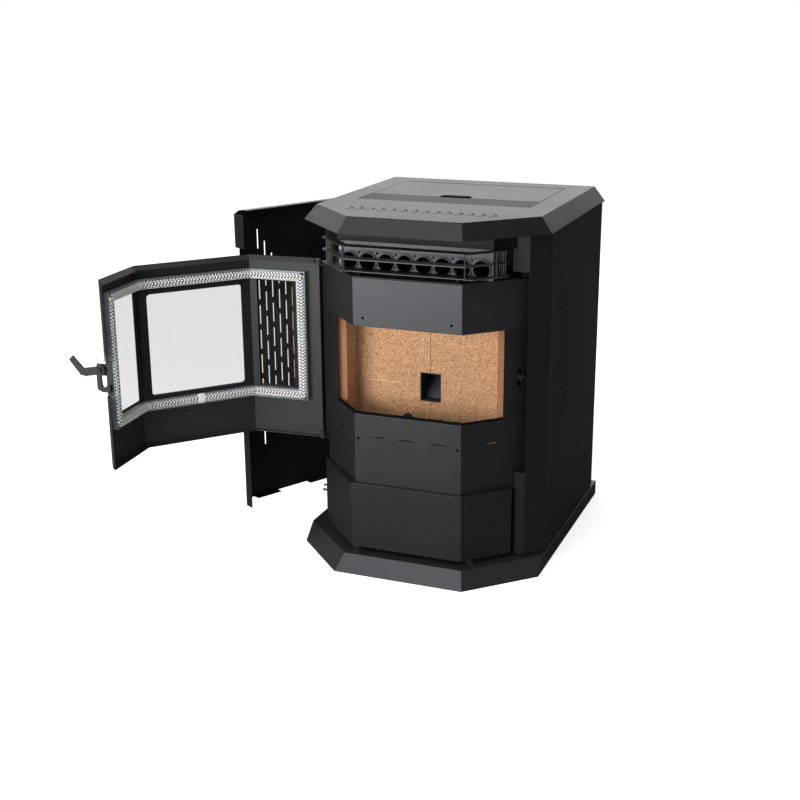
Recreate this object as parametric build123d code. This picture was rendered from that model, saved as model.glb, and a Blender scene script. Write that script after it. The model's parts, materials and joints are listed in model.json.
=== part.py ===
from build123d import *
import os
from math import copysign, cos, radians, sin, sqrt

# Pellet stove, millimetres. +X right, +Y back, +Z up, origin on the floor at the
# centre of the base. The front is three flat faces: one square to Y, and a 45 degree
# face at each side. Such a set of faces is given by two numbers: `front`, the Y of the
# middle face, and `lean`, the value of |x| - y that is constant along the side faces.
# A point near a side face is given by `s`, the distance along the face (outwards), and
# `n`, the distance from the origin square to the face.

R2 = sqrt(2)

# overall
HALF_WIDTH = 305.0
BASE_BACK = 360.0
HEIGHT = 850.0
SHEET = 1.5
PLATE = 3.0
FOLD = 2.5

# plinth
PLINTH_HEIGHT = 38.5
PLINTH_FRONT = -360.0
PLINTH_LEAN = 522.0
PLINTH_SLOPE = 32.0

# top cover
COVER_BOTTOM = 813.5
COVER_FRONT = -333.0
COVER_LEAN = 481.0
COVER_SLOPE = 29.0
COVER_BACK = 334.0
LID_HALF = 217.0
LID_CUT_FRONT = -58.0
LID_CUT_BACK = 268.0
STRIP_BACK = 33.0
LID_GAP = 1.5
LID_AXIS_Y = 262.0
LID_AXIS_Z = 845.0
LID_HINGE_X = (-140.0, 140.0)
LID_PIN = 2.0
LID_EAR = 2.4
VENT_PAIRS = 14
VENT_PITCH = 27.0

# firebox face and opening
FACE_FRONT = -288.0
FACE_LEAN = 421.0
FACE_END = 260.0
FACE_TOP = 708.0
FACE_BOTTOM = 205.0
SILL = 381.0
LINTEL = 594.0
OPENING_END = 209.0

FACE_N = FACE_LEAN / R2
POST_S = (50.0, 70.0)
POST_N = (276.0, FACE_N - 3.0)

# firebox behind it
BOX_HALF = 219.0
BOX_BACK = -101.0
BOX_FLOOR = 285.0
BOX_TOP = 708.0
BRICK = 26.0
BRICK_HALF = 190.0
BRICK_FRONT = -130.0
CHUTE_HALF = 27.0
CHUTE_BOTTOM = 377.0
CHUTE_TOP = 450.0
BRICK_TOP = 690.0
IGNITER_Z = 318.0
SMOKE_HALF = 24.0
SMOKE_Z = (295.0, 322.0)
GAS_HALF = 182.0
GAS_Y = (-225.0, -110.0)
POT_HALF = 50.0
POT_Y = (-216.0, -146.0)
POT_TOP = 345.0
POT_SLOPE = ((-195.0, 345.5), (-146.0, 328.0))
POT_TABS = ((-41.0, 13.5), (44.0, 6.0))
POT_TAB_Y = (-178.0, -175.0)

# heat exchanger and louvre
TUBES = 8
TUBE_PITCH = 46.0
TUBE_RADIUS = 22.25
TUBE_BORE = 19.75
TUBE_Z = 736.0
TUBE_PLATE_Y = -236.0
TUBE_REAR_Y = -60.0
EXCHANGER_HALF = 188.0
EXCHANGER_BOTTOM = 711.0
EXCHANGER_TOP = 800.0
LOUVRE_Y = (-310.0, -278.0)
LEDGE_Y = (-296.0, -258.0)
LOUVRE_LEAN = 457.0
LOUVRE_BACK_LEAN = 428.0
LOUVRE_X = (-241.0, 220.0)
LOUVRE_CUT = -199.5
BLADE_LEVELS = (722.0, 752.0, 780.0)
UPRIGHT_S = (-115.0, -36.5)
LOUVRE_FOOT = ((116.0, 124.0), (-284.0, -262.0))
END_BARS_X = ((-230.0, -225.3, -220.6, -215.9), (195.0, 199.7, 204.4, 209.1))
END_BARS_Y = -214.0
BLADE = 2.0
VALANCE_FRONT = -240.0
VALANCE_LEAN = 430.0
VALANCE_END = 229.0

# door
DOOR_FRONT = -312.0
DOOR_LEAN = 457.0
DOOR_DEPTH = 16.0
DOOR_BOTTOM = 271.0
DOOR_TOP = 709.0
DOOR_LIP = 11.0
DOOR_LIP_END = 56.0
DOOR_FREE_END = 257.0
DOOR_HINGE_S = 69.5
DOOR_HINGE_DEPTH = 12.0
DOOR_AXIS = (-270.0, -175.0)
DOOR_OPEN = 131.0
HINGE_PIN = 4.0
HINGE_KNUCKLE = 5.4
HINGE_BLOCK = 7.5
HINGE_PLATE = 4.0
HINGE_UPPER = -6.0
HINGE_LOWER = -4.5
HINGE_STRIP_S = (65.0, 68.0)
HINGE_STRIP_N = 305.0
RUNNING = 0.05
WINDOW_HALF = 120.0
WINDOW_CORNER = 9.0
WINDOW_Z = (399.0, 649.0)
SIDE_WINDOW_S = (-104.0, -6.0)
SIDE_WINDOW_Z = (393.0, 658.0)
PANE_Z = (390.0, 661.0)
PANE_DEPTH = (2.8, 6.8)
GASKET_Z = (364.0, 687.0)
GASKET_S = 33.0
CHANNEL_WIDTH = 24.0
CHANNEL_DEPTH = 18.0
ROPE_TOP = 23.4

# latch, in the upright plane square to the door's free side face
LATCH_S = 40.0
LATCH_N = 336.0
LATCH_Z = 508.0
LATCH_PLATE = 6.0
LATCH_NOTCH_Z = (LATCH_Z - 62.0, LATCH_Z + 22.0)
CATCH_IN = 24.0
CATCH_DOWN = 27.0
CATCH_PIN = 3.5

# ash drawer front
APRON_FRONT = -303.4
APRON_LEAN = 443.0
APRON_END = 233.0
APRON_Z = (48.0, 211.0)
STILE_N = 304.0
PAN_HALF = 150.0
PAN_Y = (-283.0, -147.0)
PAN_Z = (50.0, 175.0)

# side panels
PANEL_X = 301.0
PANEL_LEAN = 458.0
PANEL_LIP_Y = -197.0
PANEL_LIP_X = 235.0
PANEL_LIP_TOP_X = 221.5
PANEL_FLANGE = ((-146.0, -70.0), (27.0, 328.0))
PANEL_Z = (42.0, 811.0)
PANEL_AXIS = (294.0, 320.0)
PANEL_OPEN = 28.0
PANEL_PIN = 3.0
DOOR_ZONE = (250.0, 728.0)
SLOT_COUNTS = (9, 8, 7, 6, 5, 4)
SLOT_FIRST_Y = -103.5
SLOT_PITCH_Y = 20.6
SLOT_PITCH_Z = 65.8
SLOT_SIZE = (51.0, 3.8)
SLOT_MIDDLE_Z = 469.5

# hopper, auger and chute (in the plane x = 0)
HOPPER_HALF = 205.0
HOPPER_Y = (40.0, 246.0)
HOPPER_STRAIGHT_Z = 560.0
THROAT_HALF = 28.0
THROAT_Y = (160.0, 215.0)
THROAT_Z = 400.0
AUGER_TOP = (0.0, -25.0, 540.0)
AUGER_FOOT = (0.0, 235.0, 280.0)
AUGER_LINE = AUGER_FOOT[1] + AUGER_FOOT[2]
AUGER_TUBE = 30.0
AUGER_BORE = 28.0
AUGER_FLIGHT = 26.0
AUGER_SHAFT = 8.0
AUGER_PITCH = 45.0
CHUTE_BACK = -15.0
CHUTE_HEAD = 590.0
CHUTE_HEEL = 484.0
SLEEVE = 1.5

# blowers and pipes
EXHAUST_X = (-178.0, -102.0)
EXHAUST_Y = 200.0
EXHAUST_Z = 140.0
EXHAUST_VOLUTE = 75.0
FLUE_X = (EXHAUST_X[0] + EXHAUST_X[1]) / 2
FLUE_RADIUS = 38.1
FLUE_Z = 106.0
FLUE_END = 400.0
ROOM_X = (60.0, 180.0)
ROOM_Y = 190.0
ROOM_Z = 150.0
ROOM_VOLUTE = 82.0
FAN_RADIUS = 62.0
FAN_SHAFT = 4.0
INTAKE = (-70.0, 117.0)
INTAKE_RADIUS = 25.4
INTAKE_END = 372.0
INTAKE_FRONT = -118.0
REAR_Y = 324.0
REAR_HALF = 284.0
COLLAR_Y = (318.0, 323.0)
DAMPER_Y = -133.0
DAMPER_Z = 117.0
DAMPER_KNOB_X = -290.0


def prism(points, z0, z1):
    """Upright prism over a closed plan outline."""
    return Pos(0, 0, z0) * extrude(make_face(Polyline(*points, close=True)), z1 - z0, dir=(0, 0, 1))


def block(x, y, z):
    """Box from three (low, high) pairs."""
    size = [b - a for a, b in (x, y, z)]
    middle = [(a + b) / 2 for a, b in (x, y, z)]
    return Pos(*middle) * Box(*size)


def rod(start, end, radius):
    """Round bar between two points."""
    axis = Vector(*end) - Vector(*start)
    return Solid.make_cylinder(radius, axis.length, Plane(origin=start, z_dir=axis))


def profile_x(points, x0, x1):
    """Prism along X over an outline of (y, z) points."""
    outline = Plane(origin=(x0, 0, 0), x_dir=(0, 1, 0), z_dir=(1, 0, 0)) * make_face(
        Polyline(*points, close=True))
    return extrude(outline, x1 - x0, dir=(1, 0, 0))


def front_cut(shape, x, y, z, depth):
    """Flat outline set upright at a point and pushed back along +Y."""
    plane = Plane(origin=(x, y, z), x_dir=(1, 0, 0), z_dir=(0, 1, 0))
    return extrude(plane * shape, depth, dir=(0, 1, 0))


def facet_points(front, lean, left, right):
    """Plan points along the three front faces from x = left to x = right."""
    bend = lean + front
    stations = [left] + [x for x in (-bend, bend) if left < x < right] + [right]
    return [(x, max(front, abs(x) - lean)) for x in stations]


def faceted(front, lean, left, right, z, thickness):
    """Sheet bent round the front faces; `front` and `lean` give its outer side."""
    outer = facet_points(front, lean, left, right)
    inner = facet_points(front + thickness, lean - thickness * R2, left, right)
    return prism(outer + inner[::-1], *z)


def facet_xy(side, s, n):
    """Plan position of a point near the left (-1) or right (+1) side face."""
    return (side * (s + n) / R2, (s - n) / R2)


def facet_block(side, s, n, z):
    """Box lying square to a side face."""
    corners = [(s[0], n[0]), (s[1], n[0]), (s[1], n[1]), (s[0], n[1])]
    return prism([facet_xy(side, *c) for c in corners], *z)


def facet_rod(side, s0, s1, n, z, radius):
    """Round bar along a side face."""
    return rod((*facet_xy(side, s0, n), z), (*facet_xy(side, s1, n), z), radius)


def hood_outline(front, lean, half, back):
    """Six-sided plan of the plinth and the top cover."""
    bend = lean + front
    return [(-half, half - lean), (-bend, front), (bend, front),
            (half, half - lean), (half, back), (-half, back)]


def hood(bottom, top, z0, z1):
    """Sloping six-sided body between two plan outlines."""
    low = Pos(0, 0, z0) * make_face(Polyline(*bottom, close=True))
    high = Pos(0, 0, z1) * make_face(Polyline(*top, close=True))
    return loft([low, high], ruled=True)


def save(name, shape):
    export_step(shape, f"parts/{name}.step")


def swing(shape, axis_xy, degrees):
    """Turn a piece about an upright axis."""
    x, y = axis_xy
    return Pos(x, y, 0) * Rot(0, 0, degrees) * Pos(-x, -y, 0) * shape


def door_level(depth):
    """front and lean of the door at a depth behind its outer skin."""
    return DOOR_FRONT + depth, DOOR_LEAN - depth * R2


def door_n(depth):
    """Distance n of the door's side faces at a depth behind the skin."""
    return DOOR_LEAN / R2 - depth


# ---------------------------------------------------------------- base and frame

def base_plinth():
    top_lean = PLINTH_LEAN - PLINTH_SLOPE * R2
    body = hood(hood_outline(PLINTH_FRONT, PLINTH_LEAN, HALF_WIDTH, BASE_BACK),
                hood_outline(PLINTH_FRONT + PLINTH_SLOPE, top_lean, HALF_WIDTH, BASE_BACK),
                0, PLINTH_HEIGHT)
    wall = FOLD * R2
    hollow = hood(hood_outline(PLINTH_FRONT + wall, PLINTH_LEAN - wall * R2,
                               HALF_WIDTH - FOLD, BASE_BACK - FOLD),
                  hood_outline(PLINTH_FRONT + PLINTH_SLOPE + wall - FOLD,
                               top_lean - (wall - FOLD) * R2, HALF_WIDTH - FOLD, BASE_BACK - FOLD),
                  0, PLINTH_HEIGHT - FOLD)
    return body - hollow


def base_pan():
    inset = 8.0
    outline = hood_outline(PLINTH_FRONT + inset, PLINTH_LEAN - inset * R2,
                           HALF_WIDTH - FOLD, BASE_BACK - FOLD)
    return prism(outline, 0, FOLD)


def front_posts():
    posts = []
    for side in (-1, 1):
        outer = facet_block(side, POST_S, POST_N, (PLINTH_HEIGHT, HEIGHT - FOLD))
        inner = facet_block(side, (POST_S[0] + 2, POST_S[1] - 2), (POST_N[0] + 2, POST_N[1] - 2),
                            (PLINTH_HEIGHT, HEIGHT - FOLD))
        posts.append(outer - inner)
    return Compound(children=posts)


def rear_posts():
    """Rear corner posts, each with an upper and a lower pin for its side panel."""
    axis_x, axis_y = PANEL_AXIS
    posts = []
    for side in (-1, 1):
        post = block((252, 268), (296, REAR_Y), (PLINTH_HEIGHT, 847.5))
        post -= block((254, 266), (298, REAR_Y - 2), (PLINTH_HEIGHT, 847.5))
        for low, high, pin_low, pin_high in ((803, 808, 803, 811.4), (46, 51, 41.6, 51)):
            post += block((268, axis_x), (axis_y - 4, axis_y + 4), (low, high))
            post += rod((axis_x, axis_y, low), (axis_x, axis_y, high), 4.0)
            post += rod((axis_x, axis_y, pin_low), (axis_x, axis_y, pin_high), PANEL_PIN)
        posts.append(post if side > 0 else mirror(post, about=Plane.YZ))
    return Compound(children=posts)


def side_rails():
    rails = []
    for side in (-1, 1):
        for low in (70.0, 775.0):
            xs = sorted((side * 244.0, side * 247.0))
            rails.append(block(xs, (-144, 296), (low, low + 25)))
    return Compound(children=rails)


def rear_panel():
    panel = block((-REAR_HALF, REAR_HALF), (REAR_Y, REAR_Y + SHEET), (50, 806))
    for column in (-150, 0, 150):
        for row in range(9):
            panel -= front_cut(SlotOverall(100, 5), column, REAR_Y - 1, 560 + row * 22, 4)
    panel -= rod((FLUE_X, 300, FLUE_Z), (FLUE_X, 340, FLUE_Z), FLUE_RADIUS + 1)
    panel -= rod((INTAKE[0], 300, INTAKE[1]), (INTAKE[0], 340, INTAKE[1]), INTAKE_RADIUS + 1)
    panel -= block((206, 234), (300, 340), (136, 184))
    return panel


# ---------------------------------------------------------------- top cover and lid

def top_cover():
    top_lean = COVER_LEAN - COVER_SLOPE * R2
    body = hood(hood_outline(COVER_FRONT, COVER_LEAN, HALF_WIDTH, COVER_BACK),
                hood_outline(COVER_FRONT + COVER_SLOPE, top_lean, HALF_WIDTH - COVER_SLOPE, COVER_BACK),
                COVER_BOTTOM, HEIGHT)
    wall = FOLD * 1.28
    hollow = hood(hood_outline(COVER_FRONT + wall, COVER_LEAN - wall * R2,
                               HALF_WIDTH - wall, COVER_BACK - FOLD),
                  hood_outline(COVER_FRONT + COVER_SLOPE + 1, top_lean - R2,
                               HALF_WIDTH - COVER_SLOPE - 1, COVER_BACK - FOLD),
                  COVER_BOTTOM, HEIGHT - FOLD)
    cover = body - hollow
    cover -= block((-LID_HALF, LID_HALF), (LID_CUT_FRONT, LID_CUT_BACK), (HEIGHT - 10, HEIGHT + 1))
    slot = extrude(SlotOverall(24, 4), 10)
    cuts = []
    for pair in range(VENT_PAIRS):
        x = (pair - (VENT_PAIRS - 1) / 2) * VENT_PITCH
        cuts.append(Pos(x, -204, HEIGHT - 6) * Rot(0, 0, 50) * slot)
        cuts.append(Pos(x, -184, HEIGHT - 6) * Rot(0, 0, -50) * slot)
    return cover - cuts


def control_strip():
    return block((-LID_HALF + LID_GAP, LID_HALF - LID_GAP), (LID_CUT_FRONT + LID_GAP, STRIP_BACK),
                 (HEIGHT - FOLD, HEIGHT - 0.4))


def control_box():
    """Control board housing carried under the strip."""
    box = block((-100, 100), (-52, 28), (805, HEIGHT - FOLD))
    return box - block((-98, 98), (-50, 26), (807, HEIGHT - FOLD))


def lid_hinges():
    """Fixed halves of the two lid hinges: a pin between two lugs, hung under the cover."""
    y, z = LID_AXIS_Y, LID_AXIS_Z
    hinges = []
    for x in LID_HINGE_X:
        hinge = rod((x - 22, y, z), (x + 22, y, z), LID_PIN)
        for lug in ((x - 22, x - 18), (x + 18, x + 22)):
            hinge += rod((lug[0], y, z), (lug[1], y, z), LID_EAR)
            hinge += block(lug, (y - LID_EAR, y + LID_EAR), (z - 5, z))
            hinge += block(lug, (y, y + 14), (z - 5, z - 1.5))
        hinges.append(hinge + block((x - 22, x + 22), (y + 10, y + 14), (z - 5, HEIGHT - FOLD)))
    return Compound(children=hinges)


def hopper_lid():
    """Flat lid with a finger notch, two hinge knuckles and two stiffening strips."""
    y, z = LID_AXIS_Y, LID_AXIS_Z
    front = STRIP_BACK + LID_GAP
    lid = block((-LID_HALF + LID_GAP, LID_HALF - LID_GAP), (front, y), (HEIGHT - FOLD, HEIGHT))
    lid -= Pos(0, front, HEIGHT - 5) * extrude(RectangleRounded(80, 66, 18), 8)
    for x in LID_HINGE_X:
        lid += block((x - 15, x + 15), (y - 12, y), (z - 3.5, HEIGHT - FOLD))
        lid += rod((x - 15, y, z), (x + 15, y, z), 3.5)
        lid -= rod((x - 23, y, z), (x + 23, y, z), LID_PIN + RUNNING)
    for x in (-150.0, 150.0 - SHEET):
        lid += block((x, x + SHEET), (75, 240), (HEIGHT - 12, HEIGHT - FOLD))
    return lid


# ---------------------------------------------------------------- firebox

def header_panel():
    panel = faceted(FACE_FRONT, FACE_LEAN, -FACE_END, FACE_END, (LINTEL, FACE_TOP), PLATE)
    for x in (-108, 108):
        panel -= front_cut(Circle(2.2), x, FACE_FRONT - 1, 614, 6)
    return panel


def lower_panel():
    panel = faceted(FACE_FRONT, FACE_LEAN, -FACE_END, FACE_END, (FACE_BOTTOM, SILL), PLATE)
    panel += faceted(FACE_FRONT, FACE_LEAN, -BRICK_HALF + 2, BRICK_HALF - 2, (SILL - PLATE, SILL), 14)
    for x, length in ((-67, 32), (-2, 38), (78, 38)):
        panel -= front_cut(SlotOverall(length, 3), x, FACE_FRONT - 1, 327, 6)
    for x in (-124, 124):
        panel -= front_cut(Circle(2.2), x, FACE_FRONT - 1, 320, 6)
    for side in (-1, 1):
        for s in (-72, -30):
            panel -= facet_block(side, (s - 13, s + 13), (FACE_N - 8, FACE_N + 2), (325.5, 328.5))
    return panel


def face_jambs():
    right = faceted(FACE_FRONT, FACE_LEAN, OPENING_END, FACE_END, (SILL, LINTEL), PLATE)
    slot = facet_block(1, (LATCH_S - 6, LATCH_S + 6), (290, 300), (LATCH_Z - 50, LATCH_Z - 10))
    left = mirror(right, about=Plane.YZ)
    return Compound(children=[right - slot, left])


def firebox_shell():
    front, lean = FACE_FRONT + PLATE, FACE_LEAN - PLATE * R2
    outline = facet_points(front, lean, -BOX_HALF, BOX_HALF) + [(BOX_HALF, BOX_BACK), (-BOX_HALF, BOX_BACK)]
    shell = prism(outline, BOX_FLOOR, BOX_TOP)
    inner = BOX_HALF - PLATE
    shell -= block((-inner, inner), (-400, BOX_BACK - PLATE), (BOX_FLOOR + PLATE, BOX_TOP - PLATE))
    shell -= block((-CHUTE_HALF, CHUTE_HALF), (BOX_BACK - 10, BOX_BACK + 10), (CHUTE_BOTTOM, CHUTE_TOP))
    shell -= rod((0, -120, IGNITER_Z), (0, -90, IGNITER_Z), 6)
    for side in (-1, 1):
        shell -= block(sorted((side * 80, side * 170)), (-220, -150), (BOX_FLOOR - 1, BOX_FLOOR + 5))
    shell -= block((-30, 30), (-205, -150), (BOX_FLOOR - 1, BOX_FLOOR + 5))
    shell -= block((-GAS_HALF, GAS_HALF), GAS_Y, (BOX_TOP - 5, BOX_TOP + 1))
    shell -= block((FLUE_X - SMOKE_HALF, FLUE_X + SMOKE_HALF), (BOX_BACK - 10, BOX_BACK + 10), SMOKE_Z)
    return shell


def back_bricks():
    """Two back boards, notched for the chute, the igniter and the smoke exit."""
    boards = []
    for side in (-1, 1):
        board = block(sorted((side * 0.6, side * (BOX_HALF - PLATE))), (BRICK_FRONT, BRICK_FRONT + BRICK),
                      (BOX_FLOOR + PLATE, BRICK_TOP))
        board -= block((-CHUTE_HALF, CHUTE_HALF), (-140, -90), (CHUTE_BOTTOM, CHUTE_TOP))
        board -= rod((0, -140, IGNITER_Z), (0, -90, IGNITER_Z), 9)
        boards.append(board - block((FLUE_X - SMOKE_HALF, FLUE_X + SMOKE_HALF), (-140, -90), SMOKE_Z))
    return Compound(children=boards)


def side_bricks():
    return Compound(children=[
        block(sorted((side * BRICK_HALF, side * (BOX_HALF - PLATE))), (-198, BRICK_FRONT),
              (BOX_FLOOR + PLATE, BRICK_TOP)) for side in (-1, 1)])


def burn_pot():
    """Perforated cup whose rim falls away to the back, with a lifting tab on each side wall."""
    floor = BOX_FLOOR + PLATE
    middle = (POT_Y[0] + POT_Y[1]) / 2
    pot = block((-POT_HALF, POT_HALF), POT_Y, (floor, POT_TOP))
    pot -= block((-POT_HALF + PLATE, POT_HALF - PLATE), (POT_Y[0] + PLATE, POT_Y[1] - PLATE),
                 (floor + PLATE, POT_TOP + 1))
    for column in range(-3, 4):
        for row in range(-2, 3):
            x, y = column * 12, middle + row * 12
            pot -= rod((x, y, floor - 1), (x, y, floor + 4), 2.5)
    (y0, z0), (y1, z1) = POT_SLOPE
    pot -= profile_x([(y0, z0), (y0, z0 + 5), (y1 + 5, z0 + 5), (y1 + 5, z1 - 2), (y1, z1)],
                     -POT_HALF - 1, POT_HALF + 1)
    for x, radius in POT_TABS:
        tab = rod((x, POT_TAB_Y[0], POT_TOP), (x, POT_TAB_Y[1], POT_TOP), radius)
        pot += tab - block((x - 20, x + 20), (-190, -160), (POT_TOP - 25, POT_TOP - 2))
        stem = sorted((copysign(POT_HALF - 4.5, x), copysign(POT_HALF, x)))
        pot += block(stem, POT_TAB_Y, (z1, POT_TOP))
    return pot


def igniter():
    """Heating rod through the back boards, with a collar against the firebox."""
    element = rod((0, POT_Y[1], IGNITER_Z), (0, -60, IGNITER_Z), 5)
    return element + rod((0, BOX_BACK + 0.1, IGNITER_Z), (0, -92, IGNITER_Z), 12)


def air_chest():
    """Box below the firebox floor that feeds the pot with air from the intake pipe."""
    chest = block((-100, 40), (-210, -95), (232, BOX_FLOOR))
    chest -= block((-98, 38), (-208, -97), (234, BOX_FLOOR))
    return chest - rod((INTAKE[0], INTAKE_FRONT, 225), (INTAKE[0], INTAKE_FRONT, 240), INTAKE_RADIUS - 2)


# ---------------------------------------------------------------- heat exchanger, louvre

def tube_xs():
    return [(i - (TUBES - 1) / 2) * TUBE_PITCH for i in range(TUBES)]


def tube_plate():
    plate = block((-EXCHANGER_HALF, EXCHANGER_HALF), (TUBE_PLATE_Y, TUBE_PLATE_Y + PLATE),
                  (EXCHANGER_BOTTOM, EXCHANGER_TOP))
    for x in tube_xs():
        plate -= rod((x, TUBE_PLATE_Y - 1, TUBE_Z), (x, TUBE_PLATE_Y + 5, TUBE_Z), TUBE_RADIUS)
    for x in tube_xs()[:-1]:
        plate -= rod((x + TUBE_PITCH / 2, TUBE_PLATE_Y - 1, TUBE_Z + 19),
                     (x + TUBE_PITCH / 2, TUBE_PLATE_Y + 5, TUBE_Z + 19), 1.8)
    return plate


def heat_tubes():
    tubes = []
    for x in tube_xs():
        tube = rod((x, TUBE_PLATE_Y - 4, TUBE_Z), (x, TUBE_REAR_Y + 4, TUBE_Z), TUBE_RADIUS)
        tubes.append(tube - rod((x, TUBE_PLATE_Y - 5, TUBE_Z), (x, TUBE_REAR_Y + 5, TUBE_Z), TUBE_BORE))
    return Compound(children=tubes)


def exchanger_shell():
    """Hood over the tubes, open below to the firebox and in front to the tube plate."""
    shell = block((-EXCHANGER_HALF, EXCHANGER_HALF), (TUBE_PLATE_Y + PLATE, TUBE_REAR_Y),
                  (EXCHANGER_BOTTOM, EXCHANGER_TOP))
    shell -= block((-EXCHANGER_HALF + PLATE, EXCHANGER_HALF - PLATE), (-240, TUBE_REAR_Y - PLATE),
                   (700, EXCHANGER_TOP - PLATE))
    for x in tube_xs():
        shell -= rod((x, TUBE_REAR_Y - 5, TUBE_Z), (x, TUBE_REAR_Y + 1, TUBE_Z), TUBE_RADIUS)
    return shell


def firebox_cap():
    """Plate over the firebox, the ledge above the door, open to the heat exchanger."""
    outline = facet_points(FACE_FRONT, FACE_LEAN, -255, 255) + [(255, TUBE_REAR_Y), (-255, TUBE_REAR_Y)]
    cap = prism(outline, FACE_TOP, FACE_TOP + PLATE)
    cap -= block((-GAS_HALF, GAS_HALF), GAS_Y, (FACE_TOP - 1, FACE_TOP + 5))
    for side in (-1, 1):
        cap -= facet_block(side, POST_S, (POST_N[0], FACE_N), (FACE_TOP - 1, FACE_TOP + 5))
    return cap - block((ROOM_X[0], ROOM_X[1]), (-92, TUBE_REAR_Y), (FACE_TOP - 1, FACE_TOP + 5))


def louvre_grille():
    """Three blades on two feet, the lowest set back as a ledge, joined by thin uprights."""
    blades = []
    for (front, back), z in zip((LEDGE_Y, LOUVRE_Y, LOUVRE_Y), BLADE_LEVELS):
        outline = facet_points(front, LOUVRE_LEAN, *LOUVRE_X)
        outline += facet_points(back, LOUVRE_BACK_LEAN, *LOUVRE_X)[::-1]
        blades.append(prism(outline, z, z + BLADE))
    grille = blades[0] + blades[1:]
    outer_n = LOUVRE_LEAN / R2
    height = (BLADE_LEVELS[0], BLADE_LEVELS[2] + BLADE)
    for side in (-1, 1):
        for s in UPRIGHT_S:
            grille += facet_block(side, (s - 1, s + 1), (outer_n - 5, outer_n - 1), height)
        for x in END_BARS_X[side > 0]:
            grille += block((x - 0.8, x + 0.8), (END_BARS_Y, END_BARS_Y + BLADE), height)
        foot_x, foot_y = LOUVRE_FOOT
        grille += block(sorted(side * x for x in foot_x), foot_y, (FACE_TOP + PLATE, BLADE_LEVELS[0]))
    return grille - block((-HALF_WIDTH, HALF_WIDTH), (LOUVRE_CUT, 0), (0, HEIGHT))


def valance():
    return faceted(VALANCE_FRONT, VALANCE_LEAN, -VALANCE_END, VALANCE_END,
                   (BLADE_LEVELS[2] + BLADE, HEIGHT - FOLD), BLADE)


# ---------------------------------------------------------------- hopper and feed

def hopper():
    """Sheet funnel: straight above, drawn in to a square throat that sits on the auger tube."""
    def rect(x, y, z, inset=0.0):
        return Pos((x[0] + x[1]) / 2, (y[0] + y[1]) / 2, z) * Rectangle(
            x[1] - x[0] - 2 * inset, y[1] - y[0] - 2 * inset)

    wide, throat = (-HOPPER_HALF, HOPPER_HALF), (-THROAT_HALF, THROAT_HALF)
    top = HEIGHT - FOLD
    body = block(wide, HOPPER_Y, (HOPPER_STRAIGHT_Z, top))
    body += loft([rect(throat, THROAT_Y, THROAT_Z), rect(wide, HOPPER_Y, HOPPER_STRAIGHT_Z)], ruled=True)
    body += block(throat, THROAT_Y, (THROAT_Z - 70, THROAT_Z))
    inner_x = (-HOPPER_HALF + SHEET, HOPPER_HALF - SHEET)
    inner_y = (HOPPER_Y[0] + SHEET, HOPPER_Y[1] - SHEET)
    hollow = block(inner_x, inner_y, (HOPPER_STRAIGHT_Z, top))
    hollow += loft([rect(throat, THROAT_Y, THROAT_Z, SHEET + 1),
                    rect(wide, HOPPER_Y, HOPPER_STRAIGHT_Z, SHEET)], ruled=True)
    hollow += block((-THROAT_HALF + SHEET + 1, THROAT_HALF - SHEET - 1),
                    (THROAT_Y[0] + SHEET + 1, THROAT_Y[1] - SHEET - 1), (THROAT_Z - 80, THROAT_Z))
    under_tube = profile_x([(60, AUGER_LINE - 60), (300, AUGER_LINE - 300), (60, AUGER_LINE - 300)], -40, 40)
    return body - hollow - rod(AUGER_FOOT, AUGER_TOP, AUGER_TUBE) - under_tube


def auger_tube():
    tube = rod(AUGER_FOOT, AUGER_TOP, AUGER_TUBE) - rod(AUGER_FOOT, AUGER_TOP, AUGER_BORE)
    inlet = block((-THROAT_HALF + 4, THROAT_HALF - 4), (THROAT_Y[0] + 4, THROAT_Y[1] - 4), (330, 420))
    foot = Vector(*AUGER_FOOT)
    up = (Vector(*AUGER_TOP) - foot).normalized()
    plate = rod(tuple(foot - up * 4), AUGER_FOOT, AUGER_TUBE + 6)
    plate -= rod(tuple(foot - up * 5), tuple(foot + up), AUGER_SHAFT + 1)
    return tube - (inlet - rod(AUGER_FOOT, AUGER_TOP, AUGER_BORE)) + plate


def auger_screw():
    """Shaft with one helical flight, turned up from the tube's foot to the chute."""
    foot, top = Vector(*AUGER_FOOT), Vector(*AUGER_TOP)
    up = (top - foot).normalized()
    length = (top - foot).length
    shaft = rod(tuple(foot - up * 12), AUGER_TOP, AUGER_SHAFT)
    spine = Helix(AUGER_PITCH, length - 40, AUGER_SHAFT - 2)
    width = AUGER_FLIGHT - AUGER_SHAFT + 2
    start = Plane(origin=(AUGER_SHAFT - 2 + width / 2, 0, 0), x_dir=(1, 0, 0), z_dir=(0, 1, 0))
    flight = sweep(start * Rectangle(width, 2), path=spine, is_frenet=True)
    plane = Plane(origin=tuple(foot + up * 15), x_dir=(1, 0, 0), z_dir=up)
    return shaft + plane * flight


def auger_motor():
    foot = Vector(*AUGER_FOOT)
    down = (foot - Vector(*AUGER_TOP)).normalized()
    gearbox = rod(tuple(foot + down * 12.5), tuple(foot + down * 48), 31)
    motor = gearbox + rod(tuple(foot + down * 48), tuple(foot + down * 88), 24)
    for x in (-24, 24):
        post = Plane(origin=tuple(foot + down * 4), x_dir=(1, 0, 0), z_dir=down)
        motor += post * Pos(x, 0, 0) * Solid.make_cylinder(4, 10)
    return motor


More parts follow.
